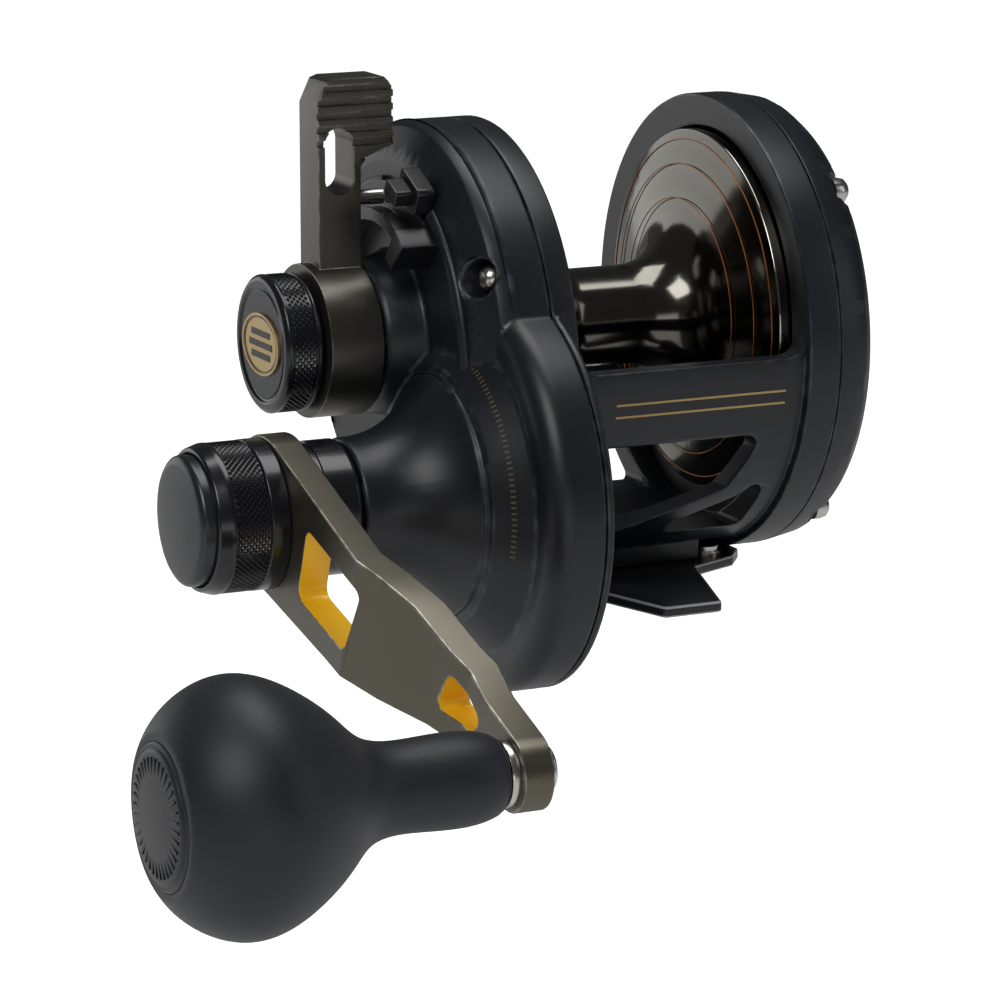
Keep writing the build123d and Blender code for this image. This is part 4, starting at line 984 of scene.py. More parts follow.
class RingPattern(Growth):
    """Repeats a shape in rows round an axis parallel to X."""

    def __init__(self) -> None:
        """Build the tree."""
        super().__init__("ring_pattern")
        shape = self.socket("Shape", "Object")
        count = self.socket("Count", "Int")
        rows = self.socket("Rows", "Int")
        radius = self.socket("Radius", "Float")
        growth = self.socket("Row Growth", "Float")
        first_x = self.socket("First X", "Float")
        pitch = self.socket("Row Pitch", "Float")
        start = self.socket("Start Angle", "Float")
        step = self.socket("Step Angle", "Float")
        stagger = self.socket("Stagger", "Float")
        axis_y = self.socket("Axis Y", "Float")
        axis_z = self.socket("Axis Z", "Float")
        material = self.socket("Material", "Material")
        index = self.node("GeometryNodeInputIndex").outputs[0]
        row = self.math("FLOOR", self.math("DIVIDE", self.math("ADD", index, 0.01), count))
        place = self.math("SUBTRACT", index, self.math("MULTIPLY", row, count))
        shift = self.math("MULTIPLY", self.math("MODULO", row, 2.0), stagger)
        angle = self.math("ADD", start, self.math("MULTIPLY", step, self.math("ADD", place, shift)))
        reach = self.math("ADD", radius, self.math("MULTIPLY", growth, row))
        spot = self.node(
            "ShaderNodeCombineXYZ",
            X=self.math("ADD", first_x, self.math("MULTIPLY", pitch, row)),
            Y=self.math("ADD", axis_y, self.math("MULTIPLY", reach, self.math("COSINE", angle))),
            Z=self.math("ADD", axis_z, self.math("MULTIPLY", reach, self.math("SINE", angle))),
        )
        total = self.math("MULTIPLY", count, rows)
        points = self.node("GeometryNodePoints", Count=total, Position=spot.outputs[0])
        lean = self.node("ShaderNodeCombineXYZ", X=self.math("SUBTRACT", angle, math.pi / 2))
        turn = self.node("FunctionNodeEulerToRotation", Euler=lean.outputs[0])
        source = self.node("GeometryNodeObjectInfo", Object=shape)
        placed = self.node(
            "GeometryNodeInstanceOnPoints",
            Points=points.outputs[0],
            Instance=source.outputs["Geometry"],
            Rotation=turn.outputs[0],
        )
        self.close(placed.outputs[0], material)


class PointPattern(Growth):
    """Puts a shape on every corner of a mesh."""

    def __init__(self) -> None:
        """Build the tree."""
        super().__init__("point_pattern")
        points = self.socket("Geometry", "Geometry")
        shape = self.socket("Shape", "Object")
        turn = self.socket("Turn", "Vector")
        material = self.socket("Material", "Material")
        source = self.node("GeometryNodeObjectInfo", Object=shape)
        lean = self.node("FunctionNodeEulerToRotation", Euler=turn)
        placed = self.node(
            "GeometryNodeInstanceOnPoints",
            Points=points,
            Instance=source.outputs["Geometry"],
            Rotation=lean.outputs[0],
        )
        self.close(placed.outputs[0], material)


class WireRing(Growth):
    """A round wire bent into a ring about an axis parallel to X."""

    def __init__(self) -> None:
        """Build the tree."""
        super().__init__("wire_ring")
        radius = self.socket("Radius", "Float")
        wire = self.socket("Wire", "Float")
        place = self.socket("Place", "Vector")
        material = self.socket("Material", "Material")
        path = self.node("GeometryNodeCurvePrimitiveCircle", Resolution=180, Radius=radius)
        section = self.node("GeometryNodeCurvePrimitiveCircle", Resolution=8, Radius=wire)
        tube = self.node("GeometryNodeCurveToMesh", Curve=path.outputs[0], Profile_Curve=section.outputs[0])
        turned = self.node(
            "GeometryNodeTransform",
            Geometry=tube.outputs[0],
            Translation=place,
            Rotation=(0.0, math.pi / 2, 0.0),
        )
        rounded_off = self.node("GeometryNodeSetShadeSmooth", Geometry=turned.outputs[0])
        self.close(rounded_off.outputs[0], material, instances=False)


ring_pattern = RingPattern()
point_pattern = PointPattern()
wire_ring = WireRing()


def ring(
    name: str,
    turning: Turning,
    radius: float,
    wire: float,
    x: float,
    finish: Finish,
) -> bpy.types.Object:
    """Grow a wire ring, with sizes in millimetres."""
    y, z = turning.place()
    return wire_ring.run(
        name, Radius=radius * MM, Wire=wire * MM, Place=(x * MM, y, z), Material=paints.of(finish)
    )


def repeat_round(
    name: str,
    shape: bpy.types.Object,
    turning: Turning,
    radius: float,
    x: float,
    finish: Finish,
    count: int,
    rows: int = 1,
    pitch: float = 0.0,
    growth: float = 0.0,
    stagger: float = 0.5,
    start: float = 0.0,
    sweep: float = 360.0,
) -> bpy.types.Object:
    """Grow rows of a shape round an axis.

    Args:
        name: the piece's name.
        shape: what is repeated.
        turning: the axis.
        radius: the first row's radius, in millimetres.
        x: the first row's place along the axis, in millimetres.
        finish: the finish.
        count: shapes in a row.
        rows: number of rows.
        pitch: distance between rows, in millimetres.
        growth: change of radius from row to row, in millimetres.
        stagger: shift of every second row, as a share of the step.
        start: the first shape's angle, in degrees.
        sweep: the angle that a row covers, in degrees.

    Returns:
        The piece.
    """
    y, z = turning.place()
    return ring_pattern.run(
        name,
        Shape=shape,
        Count=count,
        Rows=rows,
        Radius=radius * MM,
        Row_Growth=growth * MM,
        First_X=x * MM,
        Row_Pitch=pitch * MM,
        Start_Angle=math.radians(start),
        Step_Angle=math.radians(sweep) / count,
        Stagger=stagger,
        Axis_Y=y,
        Axis_Z=z,
        Material=paints.of(finish),
    )


def screw_shape(radius: float, height: float, socket: float, depth: float) -> bpy.types.Object:
    """A domed screw head with a six-sided socket; it stands on x = 0 and faces +X.

    Args:
        radius: the head's radius in millimetres, as are the other sizes.
        height: its height.
        socket: the socket's corner radius.
        depth: the socket's depth.

    Returns:
        The shape.
    """
    sides = 48
    turns = [math.tau * k / sides for k in range(sides)]
    dome = [(0.0, radius), (0.45 * height, radius), (0.80 * height, 0.90 * radius), (height, 0.64 * radius)]
    points: Profile = []
    for x, r in dome:
        points += [(x, r * math.cos(a), r * math.sin(a)) for a in turns]
    for x in (height, height - depth):
        for a in turns:
            flat = math.pi / 6
            r = socket * math.cos(flat) / math.cos((a % (2 * flat)) - flat)
            points.append((x, r * math.cos(a), r * math.sin(a)))
    rings = len(dome) + 2
    faces: list[tuple[int, ...]] = [tuple(range(sides))]
    for row in range(rings - 1):
        for k in range(sides):
            n = (k + 1) % sides
            faces.append((row * sides + k, row * sides + n, (row + 1) * sides + n, (row + 1) * sides + k))
    faces.append(tuple(range((rings - 1) * sides, rings * sides)))
    return shape_mesh("screw_head", points, faces)


def sockets_of(node: str) -> list[Vector]:
    """Middle of each separate solid in a CAD node, in metres."""
    solid = bmesh.new()
    solid.from_mesh(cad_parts[node].data)
    bmesh.ops.remove_doubles(solid, verts=solid.verts, dist=WELD)
    left = set(solid.verts)
    middles = []
    while left:
        island = {left.pop()}
        edge = set(island)
        while edge:
            edge = {e.other_vert(v) for v in edge for e in v.link_edges} - island
            island |= edge
        left -= island
        low = [min(v.co[i] for v in island) for i in range(3)]
        high = [max(v.co[i] for v in island) for i in range(3)]
        middles.append(Vector([(a + b) / 2 for a, b in zip(low, high)]))
    solid.free()
    return sorted(middles, key=lambda p: (round(p.y, 6), round(p.z, 6)))


def screws(name: str, node: str, seat: float, outward: int, shape: bpy.types.Object) -> bpy.types.Object:
    """Grow screw heads where a CAD node's screws are.

    Args:
        name: the piece's name.
        node: the CAD node of the screws.
        seat: x of the heads' seat, in millimetres.
        outward: +1 or -1, the side along X that the heads face.
        shape: the head.

    Returns:
        The piece.
    """
    mesh = bpy.data.meshes.new(name)
    mesh.from_pydata([(seat * MM, p.y, p.z) for p in sockets_of(node)], [], [])
    turn = (0.0, 0.0, 0.0 if outward > 0 else math.pi)
    made = point_pattern.run(name, mesh, Shape=shape, Turn=turn, Material=paints.of(STEEL))
    return smooth(made, math.radians(34.0))


def arc_bead(
    name: str,
    turning: Turning,
    section: list[Place],
    angles: tuple[float, float],
    finish: Finish,
) -> bpy.types.Object:
    """Sweep a small section along an arc about an axis parallel to X.

    Args:
        name: the piece's name.
        turning: the arc's axis.
        section: the (x, radius) corners of the section, in millimetres.
        angles: the arc's two ends, in degrees.
        finish: the finish.

    Returns:
        The piece.
    """
    cy, cz = turning.place()
    steps = max(4, int(abs(angles[1] - angles[0]) * 1.5))
    solid = bmesh.new()
    rows = []
    for k in range(steps + 1):
        a = math.radians(angles[0] + (angles[1] - angles[0]) * k / steps)
        corners = [(x * MM, cy + r * MM * math.cos(a), cz + r * MM * math.sin(a)) for x, r in section]
        rows.append([solid.verts.new(corner) for corner in corners])
    for first, second in zip(rows, rows[1:]):
        bridge(solid, first, second)
    solid.faces.new(rows[0])
    solid.faces.new(rows[-1])
    bmesh.ops.recalc_face_normals(solid, faces=solid.faces)
    return smooth(object_from(solid, name, paints.of(finish)))


def corner_web(
    name: str,
    corner: Place,
    away: int,
    side: int,
    wall: Place,
    turn: float,
    finish: Finish,
) -> bpy.types.Object:
    """Make the rounded inside corner where a bar of the frame meets a ring.

    Args:
        name: the piece's name.
        corner: x of the ring's face and z of the bar's top, in millimetres.
        away: +1 or -1, the way along X from the ring to the open side.
        side: +1 for the rear bar, -1 for the front one.
        wall: the bar's inner and outer radius about the plates' centre, in millimetres.
        turn: the corner's radius, in millimetres.
        finish: the finish, with its painted edge highlight material on the rounded edges.

    Returns:
        The piece.
    """
    cy = Turning.PLATE.place()[0] / MM
    sink = 0.7
    outline = [(-sink, -sink), (-sink, turn)]
    for k in range(9):
        a = math.pi / 2 * k / 8
        outline.append((turn - turn * math.cos(a), turn - turn * math.sin(a)))
    outline.append((turn, -sink))
    solid = bmesh.new()
    loops = []
    for radius in wall:
        loop = []
        for u, v in outline:
            y = cy + side * math.sqrt(radius * radius - v * v)
            loop.append(solid.verts.new(((corner[0] + away * u) * MM, y * MM, (corner[1] + v) * MM)))
        loops.append(loop)
    bridge(solid, loops[0], loops[1])
    solid.faces.new(loops[0])
    solid.faces.new(loops[1])
    bmesh.ops.recalc_face_normals(solid, faces=solid.faces)
    # slot 1: the rounded edges' material, with the painted edge highlight
    made = object_from(solid, name, paints.of(finish), paints.of(finish, worn=True))
    bevel = made.modifiers.new("rounded_edges", "BEVEL")
    bevel.width = 0.4 * MM
    bevel.segments = 2
    bevel.limit_method = "ANGLE"
    bevel.angle_limit = math.radians(50.0)
    bevel.material = 1
    return smooth(settle(made))


def joined(name: str, things: list[bpy.types.Object]) -> bpy.types.Object:
    """Join several plain mesh objects into one.

    Args:
        name: the new object's name.
        things: the objects, which are removed.

    Returns:
        The joined object.
    """
    solid = bmesh.new()
    materials: list[bpy.types.Material] = []
    for thing in things:
        first = len(solid.faces)
        solid.from_mesh(thing.data)
        solid.faces.ensure_lookup_table()
        for face in solid.faces[first:]:
            paint = thing.data.materials[min(face.material_index, len(thing.data.materials) - 1)]
            if paint not in materials:
                materials.append(paint)
            face.material_index = materials.index(paint)
        bpy.data.objects.remove(thing)
    return smooth(object_from(solid, name, *materials), math.radians(34.0))


def edges_of(node: str) -> tuple[float, float]:
    """The two ends of a CAD node along X, in millimetres."""
    low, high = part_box(node)
    return low.x / MM, high.x / MM


def radius_of(node: str) -> float:
    """Outer radius of a turned CAD node, in millimetres."""
    low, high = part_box(node)
    return (high.z - low.z) / 2 / MM


def paint_node(node: str, finish: Finish) -> None:
    """Give a CAD node that stays as it is its finish."""
    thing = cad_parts[node]
    for slot in thing.material_slots:
        slot.link = "OBJECT"
        slot.material = paints.of(finish)
    log.info("%s: CAD mesh in %s", node, finish.name)


# ---------------------------------------------------------------- sub-assemblies


@dataclass
class FrameCasting:
    """The one-piece frame, its foot and the rod clamp's nuts."""

    body: str = "frame_body"
    edge: float = 0.45
    stripe_x: Place = (-10.0, 16.5)
    stripe_angles: tuple[float, ...] = (188.0, 191.2)
    stripe_width: float = 0.55
    stripe_half: float = 0.05
    bar_wall: float = 3.6
    web_turn: float = 2.8
    ring_inset: float = 0.7
    tail_inset: float = 5.1

    def build(self) -> None:
        """Make the frame, its stripes and the foot."""
        casting = cad_copy("frame", "frame_casting", CASTING, self.edge)
        finish_piece(casting, self.body, ("frame",))
        radius = self.bar_radius()
        near, far = self.stripe_x
        inner, outer = radius - self.stripe_half, radius + self.stripe_half
        line = [(near, inner), (far, inner), (far, outer), (near, outer)]
        stripes = [
            arc_bead(f"stripe_{k}", Turning.PLATE, line, (a, a + self.stripe_width), PAINT_GOLD)
            for k, a in enumerate(self.stripe_angles)
        ]
        finish_piece(joined("bar_stripes", stripes), self.body, ())
        ring_x = edges_of("spool")[0] + self.ring_inset
        tail_x = edges_of("tail_plate")[0] - self.tail_inset
        wall = (radius - self.bar_wall, radius)
        top = Turning.PLATE.place()[1] / MM
        webs = [
            corner_web(f"web_{x:.0f}_{side}", (x, top), away, side, wall, self.web_turn, CASTING)
            for x, away in ((ring_x, 1), (tail_x, -1))
            for side in (-1, 1)
        ]
        finish_piece(joined("bar_corners", webs), self.body, ())
        foot = cad_copy("reel_foot", "foot_plate", FOOT_BLACK, 0.3)
        finish_piece(foot, self.body, ("reel_foot",))
        paint_node("foot_screws", STEEL)
        paint_node("clamp_nuts", STEEL)

    @staticmethod
    def bar_radius() -> float:
        """Outer radius of the bars between the rings, about the plates' centre, in millimetres."""
        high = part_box("gearcase_cover")[1]
        return (high.z - Turning.PLATE.place()[1]) / MM


@dataclass
class Gearcase:
    """The gearcase cover with its screws, the ticks on its conical band and the lever's track."""

    body: str = "frame_body"
    edge: float = 0.55
    boss_height: float = 19.2
    ticks: int = 54
    tick_r: float = 20.3
    tick_drop: float = 2.3
    tick_start: float = 78.0
    tick_sweep: float = 118.0
    ridge_r: float = 24.9
    ridge_half: float = 1.2
    ridge_height: float = 0.8
    ridge_angles: Place = (124.0, 184.0)
    ridge_drop: float = 2.6
    ridge_sink: float = 0.3
    teeth: int = 44
    teeth_r: float = 21.9
    teeth_inset: float = 0.6
    teeth_start: float = 18.0
    teeth_sweep: float = 68.0

    def build(self) -> None:
        """Make the cover, its screws, ticks and ridge, and the track with its teeth."""
        cover = cad_copy("gearcase_cover", "gearcase_shell", CASTING, self.edge, segments=3)
        finish_piece(cover, self.body, ("gearcase_cover",))
        seat = edges_of("cover_screws")[0] + SCREW_SEAT
        head = screw_shape(*SCREW_HEAD)
        heads = screws("cover_screw_heads", "cover_screws", seat, -1, head)
        finish_piece(heads, self.body, ("cover_screws",))
        flat = edges_of("gearcase_cover")[0] + self.boss_height
        tick = bar(0.80, 0.26, 0.03, 0.05, tilt=45.0, taper=0.9)
        marks = repeat_round(
            "band_ticks",
            tick,
            Turning.DRIVE,
            self.tick_r,
            flat - self.tick_drop,
            FAINT_GOLD,
            count=self.ticks,
            start=self.tick_start,
            sweep=self.tick_sweep,
        )
        finish_piece(marks, self.body, ())
        finish_piece(self._ridge(flat - self.ridge_drop), self.body, ())
        quadrant = cad_copy("lever_quadrant", "lever_track", PLASTIC, 0.2)
        finish_piece(quadrant, self.body, ("lever_quadrant",))
        outer = edges_of("lever_quadrant")[1]
        tooth = bar(1.0, 0.62, 0.55, 0.3, taper=0.35)
        teeth = repeat_round(
            "track_teeth",
            tooth,
            Turning.SPOOL,
            self.teeth_r,
            outer - self.teeth_inset,
            PLASTIC,
            count=self.teeth,
            start=self.teeth_start,
            sweep=self.teeth_sweep,
        )
        finish_piece(teeth, self.body, ())

    def _ridge(self, face: float) -> bpy.types.Object:
        """Make the low rounded ridge on the main face, in front of the lever's track."""
        section = [(face + self.ridge_sink, self.ridge_r - self.ridge_half)]
        for k in range(9):
            a = math.pi * k / 8
            rise = self.ridge_height * math.sin(a)
            section.append((face - rise, self.ridge_r - self.ridge_half * math.cos(a)))
        section.append((face + self.ridge_sink, self.ridge_r + self.ridge_half))
        return arc_bead("face_ridge", Turning.PLATE, section, self.ridge_angles, CASTING)


@dataclass
class TailSide:
    """The tail plate, its screws, bush and click slider."""

    body: str = "frame_body"
    edge: float = 0.30

    def build(self) -> None:
        """Make the plate and what is on it."""
        plate = cad_copy("tail_plate", "tail_shell", CASTING, self.edge, angle=30.0, segments=2)
        finish_piece(plate, self.body, ("tail_plate",))
        seat = edges_of("tail_screws")[1] - SCREW_SEAT
        head = screw_shape(*SCREW_HEAD)
        heads = screws("tail_screw_heads", "tail_screws", seat, 1, head)
        finish_piece(heads, self.body, ("tail_screws",))
        paint_node("tail_bush", BRASS)
        slider = cad_copy("click_slider", "click_slide", PLASTIC, 0.12)
        finish_piece(slider, "click_body", ("click_slider",))
        paint_node("click_tongue", STEEL)


@dataclass
class Spool:
    """The polished spool with the lines on its tail flange."""

    body: str = "spool_body"
    rings: tuple[Place, ...] = ((24.7, 17.4), (21.2, 16.4), (16.3, 15.4))
    wire: float = 0.075

    def build(self) -> None:
        """Make the spool and its rings."""
        turned = cad_copy("spool", "spool_turned", SPOOL_METAL, 0.22, segments=2)
        finish_piece(turned, self.body, ("spool",))
        lines = [
            ring(f"line_{k}", Turning.SPOOL, radius, self.wire, x, COPPER)
            for k, (radius, x) in enumerate(self.rings)
        ]
        finish_piece(joined("spool_lines", lines), self.body, ())
        paint_node("click_wheel", BRASS)
        paint_node("spool_bearings", STEEL)
        paint_node("drag_washer", FIBRE)


@dataclass
class LeverDrag:
    """The drag lever, its stop button, the preset knob and its badge."""

    lever_body: str = "lever_body"
    preset_body: str = "preset_body"
    window_half: Place = (2.15, 4.6)
    window_inset: float = 4.7
    window_drop: float = 11.6
    knurl_count: int = 66
    knurl_rows: int = 7

    def build(self) -> None:
        """Make every piece of the lever drag."""
        lever = cad_copy("drag_lever", "lever_milled", LEVER_METAL, 0.13, cutter=self._window())
        finish_piece(lever, self.lever_body, ("drag_lever",))
        housing = cad_copy("strike_housing", "strike_block", PLASTIC, 0.2)
        finish_piece(housing, "frame_body", ("strike_housing",))
        button = cad_copy("strike_button", "strike_key", PLASTIC, 0.2)
        finish_piece(button, "strike_body", ("strike_button",))
        self._preset()

    def _window(self) -> bpy.types.Object:
        """Make the rounded slot that opens the lever's window smoothly."""
        low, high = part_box("drag_lever")
        half_x, half_z = self.window_half
        x0 = low.x / MM + self.window_inset
        z0 = high.z / MM - self.window_drop
        points = []
        for k in range(64):
            a = math.tau * (k + 0.5) / 64
            lift = math.copysign(half_z - half_x, math.sin(a))
            points.append((x0 + half_x * math.cos(a), z0 + lift + half_x * math.sin(a)))
        count = len(points)
        corners = [(x, y, z) for y in (low.y / MM - 2.0, high.y / MM + 2.0) for x, z in points]
        sides = [(k, (k + 1) % count, count + (k + 1) % count, count + k) for k in range(count)]
        ends = [tuple(range(count)), tuple(range(count, 2 * count))]
        return shape_mesh("window_slot", corners, sides + ends)

    def _preset(self) -> None:
        """Make the preset knob with its knurl, face and badge."""
        front, back = edges_of("preset_knob")
        radius = radius_of("preset_knob")
        lathe = Lathe(Turning.SPOOL)
        knob = lathe.turn(
            "preset_turned",
            [
                (back, radius - 0.5, 0.3),
                (back - 0.5, radius, 0.2),
                (back - 0.9, radius, 0.1),
                (back - 1.0, radius - 0.28, 0.0),
                (front + 1.1, radius - 0.28, 0.0),
                (front + 1.0, radius, 0.1),
                (front + 0.55, radius, 0.3),
                (front, radius - 0.6, 0.3),
                (front, radius - 1.5, 0.2),
                (front + 0.35, radius - 1.8, 0.2),
                (front + 0.35, 2.25, 0.0),
                (back, 2.25, 0.0),
            ],
            SATIN,
            closed=True,
        )
        knurl = repeat_round(
            "preset_knurl",
            pyramid(0.74, 0.92, 0.30, 0.05),
            Turning.SPOOL,
            radius - 0.28,
            front + 1.55,
            SATIN,
            count=self.knurl_count,
            rows=self.knurl_rows,
            pitch=(back - front - 2.6) / self.knurl_rows,
        )
        disc = lathe.turn(
            "preset_face",
            [
                (front + 0.36, 0.0, 0.0),
                (front + 0.36, 7.7, 0.0),
                (front + 0.16, 7.6, 0.05),
                (front + 0.13, 0.0, 0.0),
            ],
            BUTTON_METAL,
        )
        whole = joined("preset_dial", [knob, knurl, disc])
        finish_piece(whole, self.preset_body, ("preset_knob",))
        finish_piece(self._badge(), self.preset_body, ("preset_badge",))

    @staticmethod
    def _badge() -> bpy.types.Object:
        """Make the oval badge: a plate, a rim line and three plain bars."""
        low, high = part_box("preset_badge")
        y = (low.y + high.y) / 2
        z = (low.z + high.z) / 2
        half_y = (high.y - low.y) / 2
        half_z = (high.z - low.z) / 2
        front = low.x

        def oval(solid: Any, x0: float, x1: float, share: float, inner: float, index: int) -> None:
            """Add an oval slab, or an oval ring when inner is above zero."""
            count = 96
            loops = []
            for x, s in ((x0, share), (x1, share), (x1, inner), (x0, inner)):
                if s <= 0.0:
                    continue
                loops.append(
                    [
                        solid.verts.new((x, y + s * half_y * math.cos(a), z + s * half_z * math.sin(a)))
                        for a in (math.tau * k / count for k in range(count))
                    ]
                )
            closed = inner > 0.0
            pairs = list(zip(loops, loops[1:]))
            if closed:
                pairs.append((loops[-1], loops[0]))
            made = [face for first, second in pairs for face in bridge(solid, first, second)]
            if not closed:
                made.append(solid.faces.new(loops[0]))
                made.append(solid.faces.new(loops[1]))
            for face in made:
                face.material_index = index

        solid = bmesh.new()
        oval(solid, high.x, front + 0.16 * MM, 1.0, 0.0, 0)
        oval(solid, front + 0.30 * MM, front + 0.02 * MM, 1.0, 0.93, 0)
        oval(solid, front + 0.30 * MM, front + 0.10 * MM, 0.90, 0.86, 1)
        for k, reach in ((-1, 0.50), (0, 0.62), (1, 0.50)):
            middle = z + k * 0.36 * half_z
            corners = [
                (x, y + sy * reach * half_y, middle + sz * 0.10 * half_z)
                for x in (front + 0.30 * MM, front + 0.08 * MM)
                for sy, sz in ((-1, -1), (1, -1), (1, 1), (-1, 1))
            ]
            verts = [solid.verts.new(c) for c in corners]
            sides = [(i, (i + 1) % 4, 4 + (i + 1) % 4, 4 + i) for i in range(4)]
            quads = [(0, 1, 2, 3), (4, 5, 6, 7), *sides]
            for quad in quads:
                solid.faces.new([verts[i] for i in quad]).material_index = 1
        bmesh.ops.recalc_face_normals(solid, faces=solid.faces)
        return smooth(object_from(solid, "preset_oval", paints.of(BADGE_GOLD), paints.of(PLASTIC)))


@dataclass
class Crank:
    """The handle: sleeve, arm, knurled collar, shift button and the knob's bolt."""

    body: str = "handle"
    knurl_count: int = 74
    knurl_rows: int = 11
    windows: tuple[tuple[float, float, float, float], ...] = (
        (12.5, 33.0, -7.4, 5.4),
        (46.0, 58.0, -4.4, 2.3),
    )

    def build(self) -> None:
        """Make every piece of the handle."""
        self._sleeve()
        self._arm()
        self._collar()
        self._button()
        self._bolt()

    def _sleeve(self) -> None:
        """Make the sleeve between the boss and the arm."""
        outer, inner = edges_of("handle_sleeve")
        radius = radius_of("handle_sleeve")
        made = Lathe(Turning.DRIVE).turn(
            "sleeve_turned",
            [
                (inner, 3.0, 0.0),
                (inner, radius - 0.5, 0.2),
                (inner - 0.5, radius, 0.3),
                (outer + 1.9, radius, 0.0),
                (outer + 1.8, radius - 0.25, 0.0),
                (outer + 1.4, radius - 0.25, 0.0),
                (outer + 1.3, radius, 0.0),
                (outer, radius, 0.25),
                (outer, 3.0, 0.0),
            ],
            SATIN,
            closed=True,
        )
        finish_piece(made, self.body, ("handle_sleeve",))

    def _arm(self) -> None:
        """Make the arm, with its window walls in gold."""
        arm = cad_copy("handle_arm", "arm_milled", ARM_METAL, 0.3)
        arm.data.materials.append(paints.of(GOLD_ANODISED))
        start = Vector(Turning.DRIVE.place())
        along = (Vector(Turning.KNOB.place()) - start).normalized()
        across = Vector((-along.y, along.x))
        for face in arm.data.polygons:
            spot = Vector((face.center.y, face.center.z)) - start
            u = spot.dot(along) / MM
            v = spot.dot(across) / MM
            inside = any(u0 < u < u1 and v0 < v < v1 for u0, u1, v0, v1 in self.windows)
            if inside and abs(face.normal.x) < 0.62:
                face.material_index = 2
        finish_piece(arm, self.body, ("handle_arm",))

    def _collar(self) -> None:
        """Make the collar with its diamond knurl."""
        outer, inner = edges_of("handle_collar")
        radius = radius_of("handle_collar")
        hole = radius_of("shift_button") + 0.2
        band = (outer + 2.7, inner - 2.9)
        base = Lathe(Turning.DRIVE, 168).turn(
            "collar_turned",
            [
                (inner, 3.0, 0.0),
                (inner, radius, 0.35),
                (band[1] + 0.2, radius, 0.15),
                (band[1], radius - 0.35, 0.0),
                (band[0], radius - 0.35, 0.0),
                (band[0] - 0.2, radius, 0.15),
                (outer + 1.9, radius, 0.8),
                (outer + 0.2, hole + 0.65, 0.4),
                (outer, hole + 0.35, 0.15),
                (outer, hole, 0.15),
                (inner - 1.9, hole, 0.0),
                (inner - 1.9, 3.0, 0.0),
            ],
            SATIN,
            closed=True,
        )
        pitch = (band[1] - band[0]) / self.knurl_rows
        knurl = repeat_round(
            "collar_knurl",
            pyramid(pitch * 1.9, 0.84, 0.36, 0.05),
            Turning.DRIVE,
            radius - 0.35,
            band[0] + pitch / 2,
            SATIN,
            count=self.knurl_count,
            rows=self.knurl_rows,
            pitch=pitch,
        )
        finish_piece(joined("collar_knurled", [base, knurl]), self.body, ("handle_collar",))

    def _button(self) -> None:
        """Make the shift button's low dome."""
        apex, skirt = edges_of("shift_button")
        radius = radius_of("shift_button")
        rim = apex + 1.15
        dome = [(apex + 0.42 * (k / 12) ** 2, (radius - 0.7) * k / 12, 0.0) for k in range(13)]
        made = Lathe(Turning.DRIVE, 168).turn(
            "shift_cap",
            dome
            + [
                (rim - 0.25, radius, 0.5),
                (skirt, radius, 0.2),
                (skirt, radius - 2.2, 0.0),
                (skirt - 2.6, radius - 2.2, 0.0),
                (skirt - 2.6, 1.2, 0.0),
                (skirt, 1.2, 0.0),
                (skirt, 0.0, 0.0),
            ],
            BUTTON_METAL,
        )
        finish_piece(made, "selector", ("shift_button",))

    def _bolt(self) -> None:
        """Finish the bolt and washer."""
        bolt = cad_copy("knob_bolt", "bolt_turned", STEEL, 0.12)
        finish_piece(bolt, self.body, ("knob_bolt",))
        washer = cad_copy("knob_washer", "washer_turned", STEEL, 0.15)
        finish_piece(washer, self.body, ("knob_washer",))


@dataclass
class PowerGrip:
    """The round grip with its medallion."""

    body: str = "knob"
    ribs: int = 36

    def build(self) -> None:
        """Make the grip and the medallion."""
        grip = cad_copy("grip", "grip_moulded", FOAM, 0.25, angle=50.0, segments=2)
        finish_piece(grip, self.body, ("grip",))
        low, high = edges_of("grip_medallion")
        radius = radius_of("grip_medallion")
        face = [(low + 0.55 * (k / 12) ** 2, radius * 0.9 * k / 12, 0.0) for k in range(13)]
        disc = Lathe(Turning.KNOB).turn(
            "medallion_disc",
            face
            + [
                (low + 0.85, radius * 0.92, 0.05),
                (low + 0.80, radius * 0.965, 0.05),
                (low + 1.0, radius, 0.1),
                (high, radius, 0.0),
                (high, 0.0, 0.0),
            ],
            MEDAL_RUBBER,
        )
        rib = bar(0.25, 0.34, 2.1, 0.0, taper=0.85)
        ribs = repeat_round(
            "medallion_ribs",
            rib,
            Turning.KNOB,
            radius * 0.58,
            low + 0.34,
            MEDAL_RUBBER,
            count=self.ribs,
        )
        finish_piece(joined("medallion", [disc, ribs]), self.body, ("grip_medallion",))
        paint_node("grip_bushes", BRASS)


@dataclass
class Workings:
    """The gears, bearings, shafts and springs that keep their CAD meshes."""

    finishes: dict[str, Finish] = field(
        default_factory=lambda: {
            "high_gear": GEAR_STEEL,
            "low_gear": GEAR_STEEL,
            "ratchet": GEAR_STEEL,
            "pawl": GEAR_STEEL,
            "pinion": GEAR_STEEL,
            "pawl_pin": STEEL,
            "pinion_bearings": STEEL,
            "drag_plate": STEEL,
            "spool_shaft": STEEL,
            "drive_shaft": STEEL,
            "drive_bearing": STEEL,
            "shift_rod": STEEL,
            "shift_spring": STEEL,
            "lever_pin": STEEL,
            "lever_cam": STEEL,
            "drag_springs": STEEL,
            "return_spring": STEEL,
        }
    )

    def build(self) -> None:
        """Give each node its finish."""
        for node, finish in self.finishes.items():
            paint_node(node, finish)


